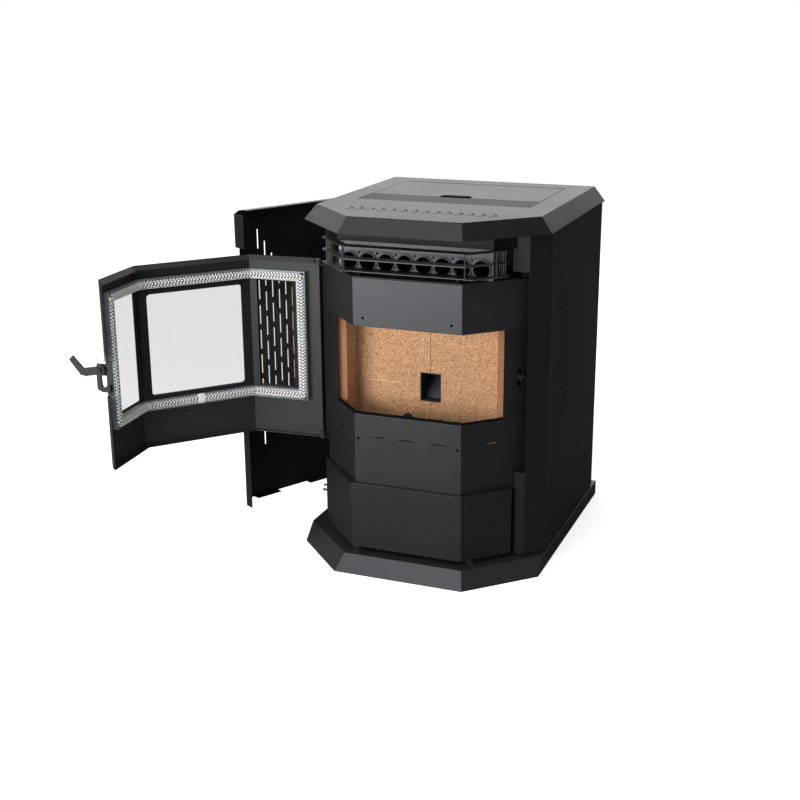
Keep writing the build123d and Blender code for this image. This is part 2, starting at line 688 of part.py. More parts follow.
def pellet_chute():
    """Steep box chute from the auger's head, with a sleeve through the opening of the back boards."""
    def side_view(inset):
        return [(BOX_BACK, CHUTE_BOTTOM - 3 + inset * 1.6), (BOX_BACK, CHUTE_HEAD - inset),
                (CHUTE_BACK - inset, CHUTE_HEAD - inset), (CHUTE_BACK - inset, CHUTE_HEEL + inset * 0.5)]

    chute = profile_x(side_view(0), -CHUTE_HALF - 5, CHUTE_HALF + 5)
    chute -= profile_x(side_view(2.0), -CHUTE_HALF - 3, CHUTE_HALF + 3)
    wide, deep = (-CHUTE_HALF - 5, CHUTE_HALF + 5), (BOX_BACK, BOX_BACK + 2)
    front = block(wide, deep, (CHUTE_BOTTOM - 3, CHUTE_HEAD))
    half = CHUTE_HALF - 0.2
    sleeve = block((-half, half), (BRICK_FRONT + 0.5, BOX_BACK + 1), (CHUTE_BOTTOM + 0.2, CHUTE_TOP - 0.2))
    half -= SLEEVE
    mouth = block((-half, half), (BRICK_FRONT - 5, BOX_BACK + 3),
                  (CHUTE_BOTTOM + 0.2 + SLEEVE, CHUTE_TOP - 0.2 - SLEEVE))
    return chute + front + sleeve - mouth - rod(AUGER_FOOT, AUGER_TOP, AUGER_TUBE)


# ---------------------------------------------------------------- blowers and pipes

def exhaust_blower():
    """Volute of the smoke blower with the flue outlet, and the duct from the firebox."""
    x0, x1 = EXHAUST_X
    body = rod((x0, EXHAUST_Y, EXHAUST_Z), (x1, EXHAUST_Y, EXHAUST_Z), EXHAUST_VOLUTE)
    body += rod((FLUE_X, EXHAUST_Y, FLUE_Z), (FLUE_X, FLUE_END, FLUE_Z), FLUE_RADIUS)
    body += rod((FLUE_X, COLLAR_Y[0], FLUE_Z), (FLUE_X, COLLAR_Y[1], FLUE_Z), FLUE_RADIUS + 3)
    hollow = rod((x0 + 2, EXHAUST_Y, EXHAUST_Z), (x1 - 2, EXHAUST_Y, EXHAUST_Z), EXHAUST_VOLUTE - 2)
    hollow += rod((FLUE_X, EXHAUST_Y + 20, FLUE_Z), (FLUE_X, FLUE_END + 1, FLUE_Z), FLUE_RADIUS - 2)
    body = body - hollow
    return body - rod((x0 - 5, EXHAUST_Y, EXHAUST_Z), (x0 + 5, EXHAUST_Y, EXHAUST_Z), 10)


def exhaust_duct():
    """Four plates that lead the smoke from the firebox down to the blower."""
    top = [(BOX_BACK, 328), (BOX_BACK, 324), (142, 223), (145, 226)]
    bottom = [(BOX_BACK, 294), (BOX_BACK, 290), (95, 176), (98, 179)]
    outline = [top[0], bottom[1], bottom[2], top[3]]
    plates = [profile_x(outline, FLUE_X + side * 26 - 1, FLUE_X + side * 26 + 1) for side in (-1, 1)]
    plates += [profile_x(wall, FLUE_X - 25, FLUE_X + 25) for wall in (top, bottom)]
    x0, x1 = EXHAUST_X
    volute = rod((x0 - 5, EXHAUST_Y, EXHAUST_Z), (x1 + 5, EXHAUST_Y, EXHAUST_Z), EXHAUST_VOLUTE)
    return Compound(children=[plate - volute for plate in plates])


def exhaust_motor():
    x0 = EXHAUST_X[0]
    motor = rod((x0 - 70, EXHAUST_Y, EXHAUST_Z), (x0 - 14, EXHAUST_Y, EXHAUST_Z), 38)
    for dy, dz in ((30, 30), (-30, 30), (30, -30), (-30, -30)):
        motor += rod((x0 - 20, EXHAUST_Y + dy * 0.8, EXHAUST_Z + dz * 0.8),
                     (x0, EXHAUST_Y + dy * 0.8, EXHAUST_Z + dz * 0.8), 4)
    return motor - rod((x0 - 30, EXHAUST_Y, EXHAUST_Z), (x0, EXHAUST_Y, EXHAUST_Z), 6)


def paddle_wheel(x0, x1, y, z, radius, blades, shaft_end):
    """Fan wheel on an X shaft: back disc, flat blades and hub."""
    wheel = rod((x0, y, z), (x0 + 2, y, z), radius)
    wheel += rod((x0, y, z), (x1, y, z), 12)
    for i in range(blades):
        turn = 360.0 / blades * i
        blade = block((x0, x1), (-1, 1), (10, radius - 2))
        wheel += Pos(0, y, z) * Rot(turn, 0, 0) * blade
    return wheel + rod((shaft_end, y, z), (x0, y, z), FAN_SHAFT)


def exhaust_fan():
    return paddle_wheel(EXHAUST_X[0] + 8, EXHAUST_X[1] - 8, EXHAUST_Y, EXHAUST_Z, FAN_RADIUS, 8,
                        EXHAUST_X[0] - 13)


def room_blower():
    """Squirrel-cage housing that draws room air and blows it into the riser duct."""
    x0, x1 = ROOM_X
    body = rod((x0, ROOM_Y, ROOM_Z), (x1, ROOM_Y, ROOM_Z), ROOM_VOLUTE)
    body += block((x0, x1), (60, ROOM_Y), (ROOM_Z, ROOM_Z + ROOM_VOLUTE))
    hollow = rod((x0 + 2, ROOM_Y, ROOM_Z), (x1 - 2, ROOM_Y, ROOM_Z), ROOM_VOLUTE - 2)
    hollow += block((x0 + 2, x1 - 2), (58, ROOM_Y), (ROOM_Z + 2, ROOM_Z + ROOM_VOLUTE - 2))
    body = body - hollow
    return body - rod((x0 - 5, ROOM_Y, ROOM_Z), (x0 + 5, ROOM_Y, ROOM_Z), 45) - rod(
        (x1 - 5, ROOM_Y, ROOM_Z), (x1 + 5, ROOM_Y, ROOM_Z), 10)


def room_motor():
    x1 = ROOM_X[1]
    motor = rod((x1 + 14, ROOM_Y, ROOM_Z), (x1 + 58, ROOM_Y, ROOM_Z), 36)
    for dy, dz in ((26, 26), (-26, 26), (26, -26), (-26, -26)):
        motor += rod((x1, ROOM_Y + dy, ROOM_Z + dz), (x1 + 20, ROOM_Y + dy, ROOM_Z + dz), 4)
    return motor - rod((x1, ROOM_Y, ROOM_Z), (x1 + 30, ROOM_Y, ROOM_Z), 6)


def room_fan():
    wheel = paddle_wheel(0, 100, 0, 0, FAN_RADIUS, 12, -25)
    return Pos(ROOM_X[1] - 8, ROOM_Y, ROOM_Z) * Rot(0, 0, 180) * wheel


def air_duct():
    """Riser from the room-air blower, and the plenum behind the tubes that it feeds."""
    x0, x1 = ROOM_X
    low, high = ROOM_Z, ROOM_Z + ROOM_VOLUTE
    half = EXCHANGER_HALF
    top = FACE_TOP + PLATE
    duct = profile_x([(60, low), (60, high), (-28, 330), (-28, top), (-92, top), (-92, 250)], x0, x1)
    duct += block((-half, half), (TUBE_REAR_Y, -10), (700, EXCHANGER_TOP))
    duct -= profile_x([(61, low + 3), (61, high - 2), (-30, 328), (-30, top - 2), (-90, top - 2), (-90, 252)],
                      x0 + 2, x1 - 2)
    return duct - block((-half + 2, half - 2), (TUBE_REAR_Y - 1, -12), (702, EXCHANGER_TOP - 2))


def air_intake():
    """Outside-air pipe along the base, turned up into the air chest, slotted for the damper."""
    x, z = INTAKE
    outer = rod((x, INTAKE_FRONT, z), (x, INTAKE_END, z), INTAKE_RADIUS)
    outer += rod((x, COLLAR_Y[0], z), (x, COLLAR_Y[1], z), INTAKE_RADIUS + 2)
    outer += rod((x, INTAKE_FRONT, z), (x, INTAKE_FRONT, 232), INTAKE_RADIUS)
    outer += Pos(x, INTAKE_FRONT, z) * Sphere(INTAKE_RADIUS)
    bore = INTAKE_RADIUS - 2
    inner = rod((x, INTAKE_FRONT, z), (x, INTAKE_END + 1, z), bore)
    inner += rod((x, INTAKE_FRONT, z), (x, INTAKE_FRONT, 233), bore)
    inner += Pos(x, INTAKE_FRONT, z) * Sphere(bore)
    return outer - inner - block((x - 40, x), (INTAKE_FRONT - 30, INTAKE_FRONT + 30), (184, 188))


def damper_guide():
    """Two upright plates on the base that carry the damper rod."""
    plates = []
    for x in (-240.0, -190.0):
        plate = block((x, x + PLATE), (DAMPER_Y - 14, DAMPER_Y + 14), (PLINTH_HEIGHT, DAMPER_Z + 14))
        plates.append(plate - rod((x - 1, DAMPER_Y, DAMPER_Z), (x + 5, DAMPER_Y, DAMPER_Z), 3 + RUNNING))
    return Compound(children=plates)


def damper_rod():
    """Push rod with a round knob at the left and a sliding gate at its inner end."""
    damper = rod((DAMPER_KNOB_X + 10, DAMPER_Y, DAMPER_Z), (-148, DAMPER_Y, DAMPER_Z), 3)
    damper += rod((DAMPER_KNOB_X, DAMPER_Y, DAMPER_Z), (DAMPER_KNOB_X + 12, DAMPER_Y, DAMPER_Z), 9)
    damper += block((-152, -148), (DAMPER_Y - 4, DAMPER_Y + 4), (DAMPER_Z - 4, 187))
    return damper + block((-152, -100), (DAMPER_Y - 4, INTAKE_FRONT + 20), (185, 187))


def power_inlet():
    """Panel socket for a mains lead, with three flat blades in a recess."""
    body = block((207, 233), (REAR_Y - 22, REAR_Y + 2), (137, 183))
    body += block((202, 238), (REAR_Y + SHEET, REAR_Y + 4), (130, 190))
    body -= block((210, 230), (REAR_Y - 16, REAR_Y + 5), (146, 176))
    for x, z in ((220, 161), (215, 153), (225, 153)):
        body += block((x - 1, x + 1), (REAR_Y - 18, REAR_Y), (z - 3, z + 3))
    return body


# ---------------------------------------------------------------- fixed door hardware

def door_hinges():
    """Upright strip on the left side face with a plate and a pin at each end."""
    axis_x, axis_y = DOOR_AXIS
    axis_s = (-axis_x + axis_y) / R2
    axis_n = (-axis_x - axis_y) / R2
    upper, lower = DOOR_TOP + HINGE_UPPER, DOOR_BOTTOM + HINGE_LOWER
    hinges = facet_block(-1, HINGE_STRIP_S, (FACE_N, HINGE_STRIP_N), (lower, upper + HINGE_PLATE))
    for low, pin in ((upper, (upper, upper + 14)), (lower, (lower, lower + 14))):
        hinges += facet_block(-1, (axis_s - 8, axis_s - 0.2), (FACE_N, axis_n), (low, low + HINGE_PLATE))
        hinges += rod((axis_x, axis_y, low), (axis_x, axis_y, low + HINGE_PLATE), HINGE_KNUCKLE)
        hinges += rod((axis_x, axis_y, pin[0]), (axis_x, axis_y, pin[1]), HINGE_PIN)
    return hinges


def latch_catch():
    """Catch pin between two ears beside the slot in the right face."""
    pin_n, pin_z = LATCH_N - CATCH_IN, LATCH_Z - CATCH_DOWN
    catch = facet_rod(1, LATCH_S - 4.9, LATCH_S + 4.9, pin_n, pin_z, CATCH_PIN)
    for s in (LATCH_S - 4.9, LATCH_S + 3.7):
        catch += facet_block(1, (s, s + 1.2), (FACE_N, pin_n + 5), (pin_z - 8, pin_z + 8))
    return catch


def corner_stiles():
    """Fixed corner strips that continue the drawer front out to the posts."""
    stiles = []
    for side in (-1, 1):
        stile = facet_block(side, (29.7, 77.8), (STILE_N - 2, STILE_N), (41, APRON_Z[1]))
        stile += facet_block(side, (66, 68), (POST_N[1], STILE_N - 2), (41, FACE_BOTTOM))
        stiles.append(stile)
    return Compound(children=stiles)


def drawer_runners():
    runners = []
    for side in (-1, 1):
        runner = block((PAN_HALF + 1, PAN_HALF + 3), (-262, -146), (PLINTH_HEIGHT, 70))
        runner += block((PAN_HALF - 12, PAN_HALF + 3), (-262, -146), (PLINTH_HEIGHT, PAN_Z[0] - 0.5))
        runners.append(runner if side > 0 else mirror(runner, about=Plane.YZ))
    return Compound(children=runners)


def face_screws():
    """Round-headed screws in the header and lower panels and the tube plate."""
    heads = [(x, FACE_FRONT, z) for x, z in ((-108, 614), (108, 614), (-124, 320), (124, 320))]
    screws = []
    for x, y, z in heads:
        screws.append(rod((x, y + 0.4, z), (x, y + 8, z), 2.1))
    for x in tube_xs()[:-1]:
        screws.append(rod((x + TUBE_PITCH / 2, TUBE_PLATE_Y + 0.3, TUBE_Z + 19),
                          (x + TUBE_PITCH / 2, TUBE_PLATE_Y + 8, TUBE_Z + 19), 1.7))
    return Compound(children=screws)


# ---------------------------------------------------------------- door

def as_open_door(shape):
    return swing(shape, DOOR_AXIS, -DOOR_OPEN)


def door_band(depth0, depth1, z, left=-300.0, right=DOOR_FREE_END):
    """Slice of the door between two depths behind its skin, square at the hinge end."""
    front, lean = door_level(depth0)
    band = faceted(front, lean, left, right, z, depth1 - depth0)
    return band - facet_block(-1, (DOOR_HINGE_S, 130), (280, 350), (0, 900))


def door_lip():
    """Strip that slopes from the top of the skin down to the door's inner edge."""
    levels = []
    for depth, z in ((DOOR_DEPTH - FOLD, DOOR_TOP), (0, DOOR_TOP + DOOR_LIP)):
        outer = facet_points(*door_level(depth), -300, DOOR_FREE_END)
        inner = facet_points(*door_level(depth + FOLD), -300, DOOR_FREE_END)
        levels.append(Pos(0, 0, z) * make_face(Polyline(*(outer + inner[::-1]), close=True)))
    return loft(levels, ruled=True) - facet_block(-1, (DOOR_LIP_END, 140), (280, 350), (0, 900))


def door_frame():
    """Folded skin with returned edges, a sloping top lip, three windows, hinge blocks and a latch notch."""
    axis_x, axis_y = DOOR_AXIS
    door = door_band(0, DOOR_DEPTH, (DOOR_BOTTOM, DOOR_TOP))
    pocket = faceted(*door_level(FOLD), -300, DOOR_FREE_END - FOLD,
                     (DOOR_BOTTOM + FOLD, HEIGHT), DOOR_DEPTH)
    pocket -= facet_block(-1, (DOOR_HINGE_S - FOLD, 140), (280, 350), (0, 900))
    door -= pocket
    door -= facet_block(-1, (DOOR_HINGE_S - FOLD, 140), (280, door_n(DOOR_HINGE_DEPTH)), (0, 900))
    door += door_band(0, FOLD, (DOOR_TOP - 1, DOOR_TOP + DOOR_LIP)) + door_lip()
    plate = DOOR_TOP + HINGE_UPPER
    door -= rod((axis_x, axis_y, plate - 2), (axis_x, axis_y, plate + HINGE_PLATE + 1), HINGE_KNUCKLE + 0.5)
    for low, high in ((DOOR_BOTTOM, DOOR_BOTTOM + 12), (plate + HINGE_PLATE + 0.5, plate + 13)):
        door += rod((axis_x, axis_y, low), (axis_x, axis_y, high), HINGE_BLOCK)
        door -= rod((axis_x, axis_y, low - 1), (axis_x, axis_y, high + 1), HINGE_PIN + RUNNING)
    window = RectangleRounded(2 * WINDOW_HALF, WINDOW_Z[1] - WINDOW_Z[0], WINDOW_CORNER)
    door -= front_cut(window, 0, DOOR_FRONT - 5, sum(WINDOW_Z) / 2, 12)
    for side in (-1, 1):
        door -= facet_block(side, SIDE_WINDOW_S, (door_n(8), door_n(-8)), SIDE_WINDOW_Z)
    return door - facet_block(1, (GASKET_S + 0.6, 80), (290, 350), LATCH_NOTCH_Z)


def glass_center():
    front, back = (DOOR_FRONT + depth for depth in PANE_DEPTH)
    return block((-131, 131), (front, back), PANE_Z)


def glass_sides():
    depths = (door_n(PANE_DEPTH[1]), door_n(PANE_DEPTH[0]))
    return Compound(children=[facet_block(side, (-110, 4), depths, PANE_Z) for side in (-1, 1)])


def pane_retainers():
    """Rim round the middle pane and an angled bar over each bend between the panes."""
    height = (PANE_Z[0] + 1, PANE_Z[1] - 1)
    level = DOOR_FRONT + PANE_DEPTH[1] + 0.1
    rim = block((-130, 130), (level, level + 2), height)
    window = RectangleRounded(2 * WINDOW_HALF, WINDOW_Z[1] - WINDOW_Z[0], WINDOW_CORNER)
    rim -= front_cut(window, 0, DOOR_FRONT, sum(WINDOW_Z) / 2, 12)
    pieces = [rim]
    for side in (-1, 1):
        left, right = sorted((side * 124.0, side * 153.0))
        pieces.append(faceted(*door_level(PANE_DEPTH[1] + 2.2), left, right, height, 2.0))
    return Compound(children=pieces)


def loop_band(depth0, depth1, inset):
    """Closed band round the panes, between two depths, inset from the gasket's outer edge."""
    low, high = GASKET_Z[0] + inset, GASKET_Z[1] - inset
    band = faceted(*door_level(depth0), -DOOR_FREE_END, DOOR_FREE_END, (low, high), depth1 - depth0)
    for side in (-1, 1):
        band -= facet_block(side, (GASKET_S - inset, 120), (280, 350), (0, HEIGHT))
    return band


def gasket_channel():
    """Galvanised U channel round the panes, seated on the skin."""
    wall = 1.2
    base = loop_band(FOLD + 0.1, FOLD + 0.1 + wall, 0) - loop_band(0, 30, CHANNEL_WIDTH)
    outer = loop_band(FOLD + 0.1, CHANNEL_DEPTH, 0) - loop_band(0, 30, wall)
    inner = loop_band(FOLD + 0.1, CHANNEL_DEPTH - 4, CHANNEL_WIDTH - wall) - loop_band(0, 30, CHANNEL_WIDTH)
    return base + outer + inner


def rope_gasket():
    """Knitted rope, a plain band here, filling the channel and standing proud of it."""
    return loop_band(FOLD + 1.6, ROPE_TOP, 1.5) - loop_band(0, 30, CHANNEL_WIDTH - 1.5)


def latch_bracket():
    """Ear on the door's free side face, its pivot bolt and nut, and a guard beside the notch."""
    skin = door_n(0)
    ear = facet_block(1, (LATCH_S - 7, LATCH_S - 4), (skin, LATCH_N + 10), (LATCH_Z - 14, LATCH_Z + 14))
    ear += facet_block(1, (LATCH_S - 22, LATCH_S - 7), (skin, skin + 2.5), (LATCH_Z - 14, LATCH_Z + 14))
    ear += facet_rod(1, LATCH_S - 12, LATCH_S - 7, LATCH_N, LATCH_Z, 7)
    ear += facet_block(1, (GASKET_S + 0.7, GASKET_S + 1.7), (door_n(DOOR_DEPTH), skin + 0.5), LATCH_NOTCH_Z)
    return ear + facet_rod(1, LATCH_S - 6, LATCH_S + 8, LATCH_N, LATCH_Z, 4)


def latch_handle():
    """Flat lever with a hook that passes under and behind the catch pin."""
    def outline(points):
        return make_face(Polyline(*points, close=True))

    # x outwards from the door, y upwards, both from the pivot
    hook = outline([(9, 4), (9, -46), (-4, -52), (-20, -52), (-24, -47), (-24, -33), (-15, -35),
                    (-14, -41), (-5, -40), (-3, -28), (-3, 4)])
    lever = outline([(-4, -9), (36, -17), (50, -15), (78, 20), (68, 30), (42, 2), (0, 9)])
    shape = hook + lever + Circle(13) - Circle(4 + RUNNING)
    origin = (*facet_xy(1, LATCH_S - LATCH_PLATE / 2, LATCH_N), LATCH_Z)
    out = facet_xy(1, 0, 1)
    along = facet_xy(1, 1, 0)
    plane = Plane(origin=origin, x_dir=(*out, 0), z_dir=(*along, 0))
    if plane.y_dir.Z < 0:
        shape = mirror(shape, about=Plane.XZ)
    return extrude(plane * shape, LATCH_PLATE, dir=(*along, 0))


# ---------------------------------------------------------------- drawer and side panels

def ash_front():
    """Drawer front: the lower three-sided apron with returned top and bottom edges."""
    front = faceted(APRON_FRONT, APRON_LEAN, -APRON_END, APRON_END, APRON_Z, 2.0)
    depth = FACE_FRONT - APRON_FRONT - 0.6
    for low in (APRON_Z[0], APRON_Z[1] - 2):
        front += faceted(APRON_FRONT, APRON_LEAN, -APRON_END, APRON_END, (low, low + 2), depth - 2)
    return front


def ash_pan():
    pan = block((-PAN_HALF, PAN_HALF), PAN_Y, PAN_Z)
    pan -= block((-PAN_HALF + SHEET, PAN_HALF - SHEET), (PAN_Y[0] + SHEET, PAN_Y[1] - SHEET),
                 (PAN_Z[0] + SHEET, PAN_Z[1] + 1))
    for x in (-80, 80):
        pan += block((x - 10, x + 10), (APRON_FRONT + 2, PAN_Y[0]), (90, 130))
    return pan


def closed_panel(lip_cut_x):
    """Right side panel, shut; the front edge is cut back to `lip_cut_x` beside the door."""
    corner = (PANEL_LEAN + PANEL_LIP_Y, PANEL_LIP_Y)
    fold = (PANEL_X, PANEL_X - PANEL_LEAN)
    step = SHEET * (R2 - 1)
    outline = [(PANEL_LIP_TOP_X, PANEL_LIP_Y), corner, fold, (PANEL_X, PANEL_AXIS[1]),
               (PANEL_X - SHEET, PANEL_AXIS[1]), (PANEL_X - SHEET, fold[1] + step),
               (corner[0] - step, PANEL_LIP_Y + SHEET), (PANEL_LIP_TOP_X, PANEL_LIP_Y + SHEET)]
    panel = prism(outline, *PANEL_Z)
    panel -= block((0, PANEL_LIP_X), (-300, 0), (0, DOOR_ZONE[0]))
    panel -= block((0, lip_cut_x), (-300, 0), DOOR_ZONE)
    axis_x, axis_y = PANEL_AXIS
    for low, stretches in ((PANEL_Z[1] - SHEET, ((PANEL_FLANGE[0][0], PANEL_FLANGE[1][1]),)),
                           (PANEL_Z[0], PANEL_FLANGE)):
        for y0, y1 in stretches:
            panel += block((PANEL_X - 20, PANEL_X), (y0, min(y1, axis_y)), (low, low + SHEET))
        panel += rod((axis_x, axis_y, low), (axis_x, axis_y, low + SHEET), 7)
        panel -= rod((axis_x, axis_y, low - 1), (axis_x, axis_y, low + 3), PANEL_PIN + RUNNING)
    cuts = []
    for column, count in enumerate(SLOT_COUNTS):
        y = SLOT_FIRST_Y + column * SLOT_PITCH_Y
        for i in range(count):
            z = SLOT_MIDDLE_Z + (i - (count - 1) / 2) * SLOT_PITCH_Z
            length, width = SLOT_SIZE
            plane = Plane(origin=(PANEL_X - 5, y, z), x_dir=(0, 0, 1), z_dir=(1, 0, 0))
            cuts.append(extrude(plane * SlotOverall(length, width), 10, dir=(1, 0, 0)))
    return panel - cuts


def side_panel_left():
    shut = mirror(closed_panel(294.5), about=Plane.YZ)
    return swing(shut, (-PANEL_AXIS[0], PANEL_AXIS[1]), -PANEL_OPEN)


FIXED = {
    "base_plinth": base_plinth, "base_pan": base_pan, "front_posts": front_posts,
    "rear_posts": rear_posts, "side_rails": side_rails, "rear_panel": rear_panel,
    "top_cover": top_cover, "control_strip": control_strip, "control_box": control_box,
    "lid_hinges": lid_hinges, "hopper_lid": hopper_lid, "header_panel": header_panel,
    "lower_panel": lower_panel, "face_jambs": face_jambs, "firebox_shell": firebox_shell,
    "side_bricks": side_bricks, "back_bricks": back_bricks, "burn_pot": burn_pot,
    "igniter": igniter, "air_chest": air_chest,
    "tube_plate": tube_plate, "heat_tubes": heat_tubes, "exchanger_shell": exchanger_shell,
    "firebox_cap": firebox_cap, "louvre_grille": louvre_grille, "valance": valance,
    "hopper": hopper, "auger_tube": auger_tube, "auger_screw": auger_screw,
    "auger_motor": auger_motor, "pellet_chute": pellet_chute, "exhaust_blower": exhaust_blower,
    "exhaust_duct": exhaust_duct, "exhaust_motor": exhaust_motor, "exhaust_fan": exhaust_fan,
    "room_blower": room_blower, "room_motor": room_motor, "room_fan": room_fan,
    "air_duct": air_duct, "air_intake": air_intake,
    "damper_guide": damper_guide, "damper_rod": damper_rod, "power_inlet": power_inlet,
    "door_hinges": door_hinges, "latch_catch": latch_catch, "corner_stiles": corner_stiles,
    "drawer_runners": drawer_runners, "face_screws": face_screws, "ash_front": ash_front,
    "ash_pan": ash_pan, "side_panel_left": side_panel_left,
}

ON_DOOR = {
    "door_frame": door_frame, "glass_center": glass_center, "glass_sides": glass_sides,
    "pane_retainers": pane_retainers, "gasket_channel": gasket_channel,
    "rope_gasket": rope_gasket, "latch_bracket": latch_bracket, "latch_handle": latch_handle,
}


def main():
    os.makedirs("parts", exist_ok=True)
    for name, make in FIXED.items():
        save(name, make())
    for name, make in ON_DOOR.items():
        save(name, as_open_door(make()))
    save("side_panel_right", closed_panel(PANEL_LEAN + PANEL_LIP_Y - 0.5))


main()
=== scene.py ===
import json
from math import cos, pi, radians, sin, sqrt, tan

import bmesh
import bpy
import numpy as np
from mathutils import Matrix, Vector


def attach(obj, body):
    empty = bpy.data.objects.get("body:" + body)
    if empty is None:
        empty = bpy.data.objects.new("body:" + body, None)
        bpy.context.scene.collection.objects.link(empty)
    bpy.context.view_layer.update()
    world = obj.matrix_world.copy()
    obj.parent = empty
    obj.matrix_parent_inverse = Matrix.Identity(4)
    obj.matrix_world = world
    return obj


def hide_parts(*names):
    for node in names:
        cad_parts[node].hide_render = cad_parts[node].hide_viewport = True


# Pellet stove, dressed in Blender. Metres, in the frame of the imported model: +X right,
# +Y back, +Z up. The front is three flat faces; a point near a side face is given by
# `s`, the distance along the face outwards, and `n`, the distance from the origin square
# to it. Door pieces are worked out for the shut door and then turned to where it stands.

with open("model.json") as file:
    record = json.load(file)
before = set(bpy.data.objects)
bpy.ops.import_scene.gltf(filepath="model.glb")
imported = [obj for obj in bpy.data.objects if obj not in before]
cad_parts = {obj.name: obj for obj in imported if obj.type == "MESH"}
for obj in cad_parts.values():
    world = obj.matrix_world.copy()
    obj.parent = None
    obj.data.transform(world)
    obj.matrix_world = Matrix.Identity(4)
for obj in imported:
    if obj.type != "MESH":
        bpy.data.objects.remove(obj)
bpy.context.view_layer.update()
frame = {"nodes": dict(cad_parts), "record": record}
BODY_OF = {node: body for body, nodes in frame["record"]["behaviour"]["bodies"].items() for node in nodes}

R2 = sqrt(2)

# door, shut: skin planes, hinge line and how far it stands open
DOOR_FRONT = -0.312
DOOR_LEAN = 0.457
DOOR_AXIS = (-0.270, -0.175)
DOOR_OPEN = 131.0
BEND_X = DOOR_LEAN + DOOR_FRONT
FACET_N = DOOR_LEAN / R2
BEND_S = BEND_X * R2 - FACET_N

# gasket: middle line of its loop, in distance along the skin and in height
GASKET_OUTER_S = 0.033
CHANNEL_HALF = 0.012
LOOP_HALF = BEND_X + GASKET_OUTER_S - BEND_S - CHANNEL_HALF
LOOP_Z = (0.376, 0.675)
LOOP_CORNER = 0.007
BEND_RADIUS = 0.030
ROPE_HALF = 0.0104
ROPE_DEPTHS = (0.0046, 0.0234)

# knit of the rope: the arcs are shares of a turn round its section
STITCH = 0.0080
STITCH_COLUMNS = 10
STITCH_DEPTH = 0.0034
STITCH_SLANT = 0.8
HOLE_AT_EDGE = 0.45
ROPE_SPACING = 0.00098
ROPE_SPILL = 0.0016
ROPE_BOXINESS = 0.8
KNITTED_ARC = (-0.07, 0.57, 44)
SEATED_ARC = (0.64, 0.86, 4)

# latch
LATCH_S = 0.040
LATCH_N = 0.336
LATCH_Z = 0.508
LATCH_NUT_SPAN = (0.0036, 0.0090)
LATCH_NUT_RADIUS = 0.0075

# small fittings of the shut door: places on its middle pane's face (x, z), and the gusset
# in the plane of the free end's lip (y, z)
DOOR_SKIN = 0.002
DOOR_SCREW = (-0.144, 0.6955)
DOOR_RIVET = (0.028, 0.3386)
GUSSET_X = 0.25705
GUSSET_SHEET = 0.0006
GUSSET_OUTLINE = ((-0.1995, 0.558), (-0.187, 0.541), (-0.184, 0.532), (-0.187, 0.5302), (-0.1995, 0.5302))

# face of the stove, its sill and its fire boards; an edge is a pair of places, where a
# change of paint starts and where it is complete
FACE_FRONT = -0.288
FACE_LEAN = 0.421
FACE_SCREWS = ((-0.108, 0.614), (0.108, 0.614), (-0.124, 0.320), (0.124, 0.320))
SILL = 0.381
SILL_END = 0.208
SILL_EDGE = (SILL - 0.0003, SILL - 0.0009)
SIDE_BOARD_FRONT = -0.198
SIDE_BOARD_END = (SIDE_BOARD_FRONT + 0.0012, SIDE_BOARD_FRONT + 0.0006)

# exchanger tubes and louvre; a clip spans two places along X and two heights
TUBE_PLATE_Y = -0.236
TUBES = 8
TUBE_PITCH = 0.046
TUBE_Z = 0.736
PLATE_SCREW_Z = TUBE_Z + 0.019
# below this height the louvre's feet are painted near-black, a painted shade
LOUVRE_FOOT_TOP = (0.7212, 0.7218)
LOUVRE_CLIP_Y = -0.3108
LOUVRE_CLIPS = {"upper": ((-0.1535, -0.1475), (0.7755, 0.7835)),
                "middle": ((-0.1515, -0.1495), (0.7440, 0.7530))}

# folds of the sheet pieces; a face is a rim when it is narrower than so many fold widths
SAME_PLANE = radians(0.5)
FLAT_ANGLE = radians(1)
FOLD_ANGLE = radians(15)
SHORTEST_FOLD = 0.012
RIM_BREADTH = 4
RIM_SHARE = 0.25

# second coats: how squarely a face has to look one way, and the largest area of a rim
FACING = 0.9
RIM_AREA = 0.002

# camera, solved from the photograph's straight edges
CAMERA_PLACE = (1.0484, -2.9559, 1.3295)
CAMERA_TURN = (radians(21.77), radians(17.45), radians(-0.39))
SENSOR_WIDTH = 36.0
LENS = 58.50


# ---------------------------------------------------------------- materials

class Value:
    """A socket of a node tree that takes part in Python sums and adds its Math nodes."""

    def __init__(self, paint, socket):
        self.paint = paint
        self.socket = socket

    def math(self, operation, *inputs):
        return self.paint.node("ShaderNodeMath", inputs, operation=operation)

    def __add__(self, other):
        return self.math("ADD", self, other)

    def __sub__(self, other):
        return self.math("SUBTRACT", self, other)

    def __rsub__(self, other):
        return self.math("SUBTRACT", other, self)

    def __mul__(self, other):
        return self.math("MULTIPLY", self, other)

    __radd__ = __add__
    __rmul__ = __mul__


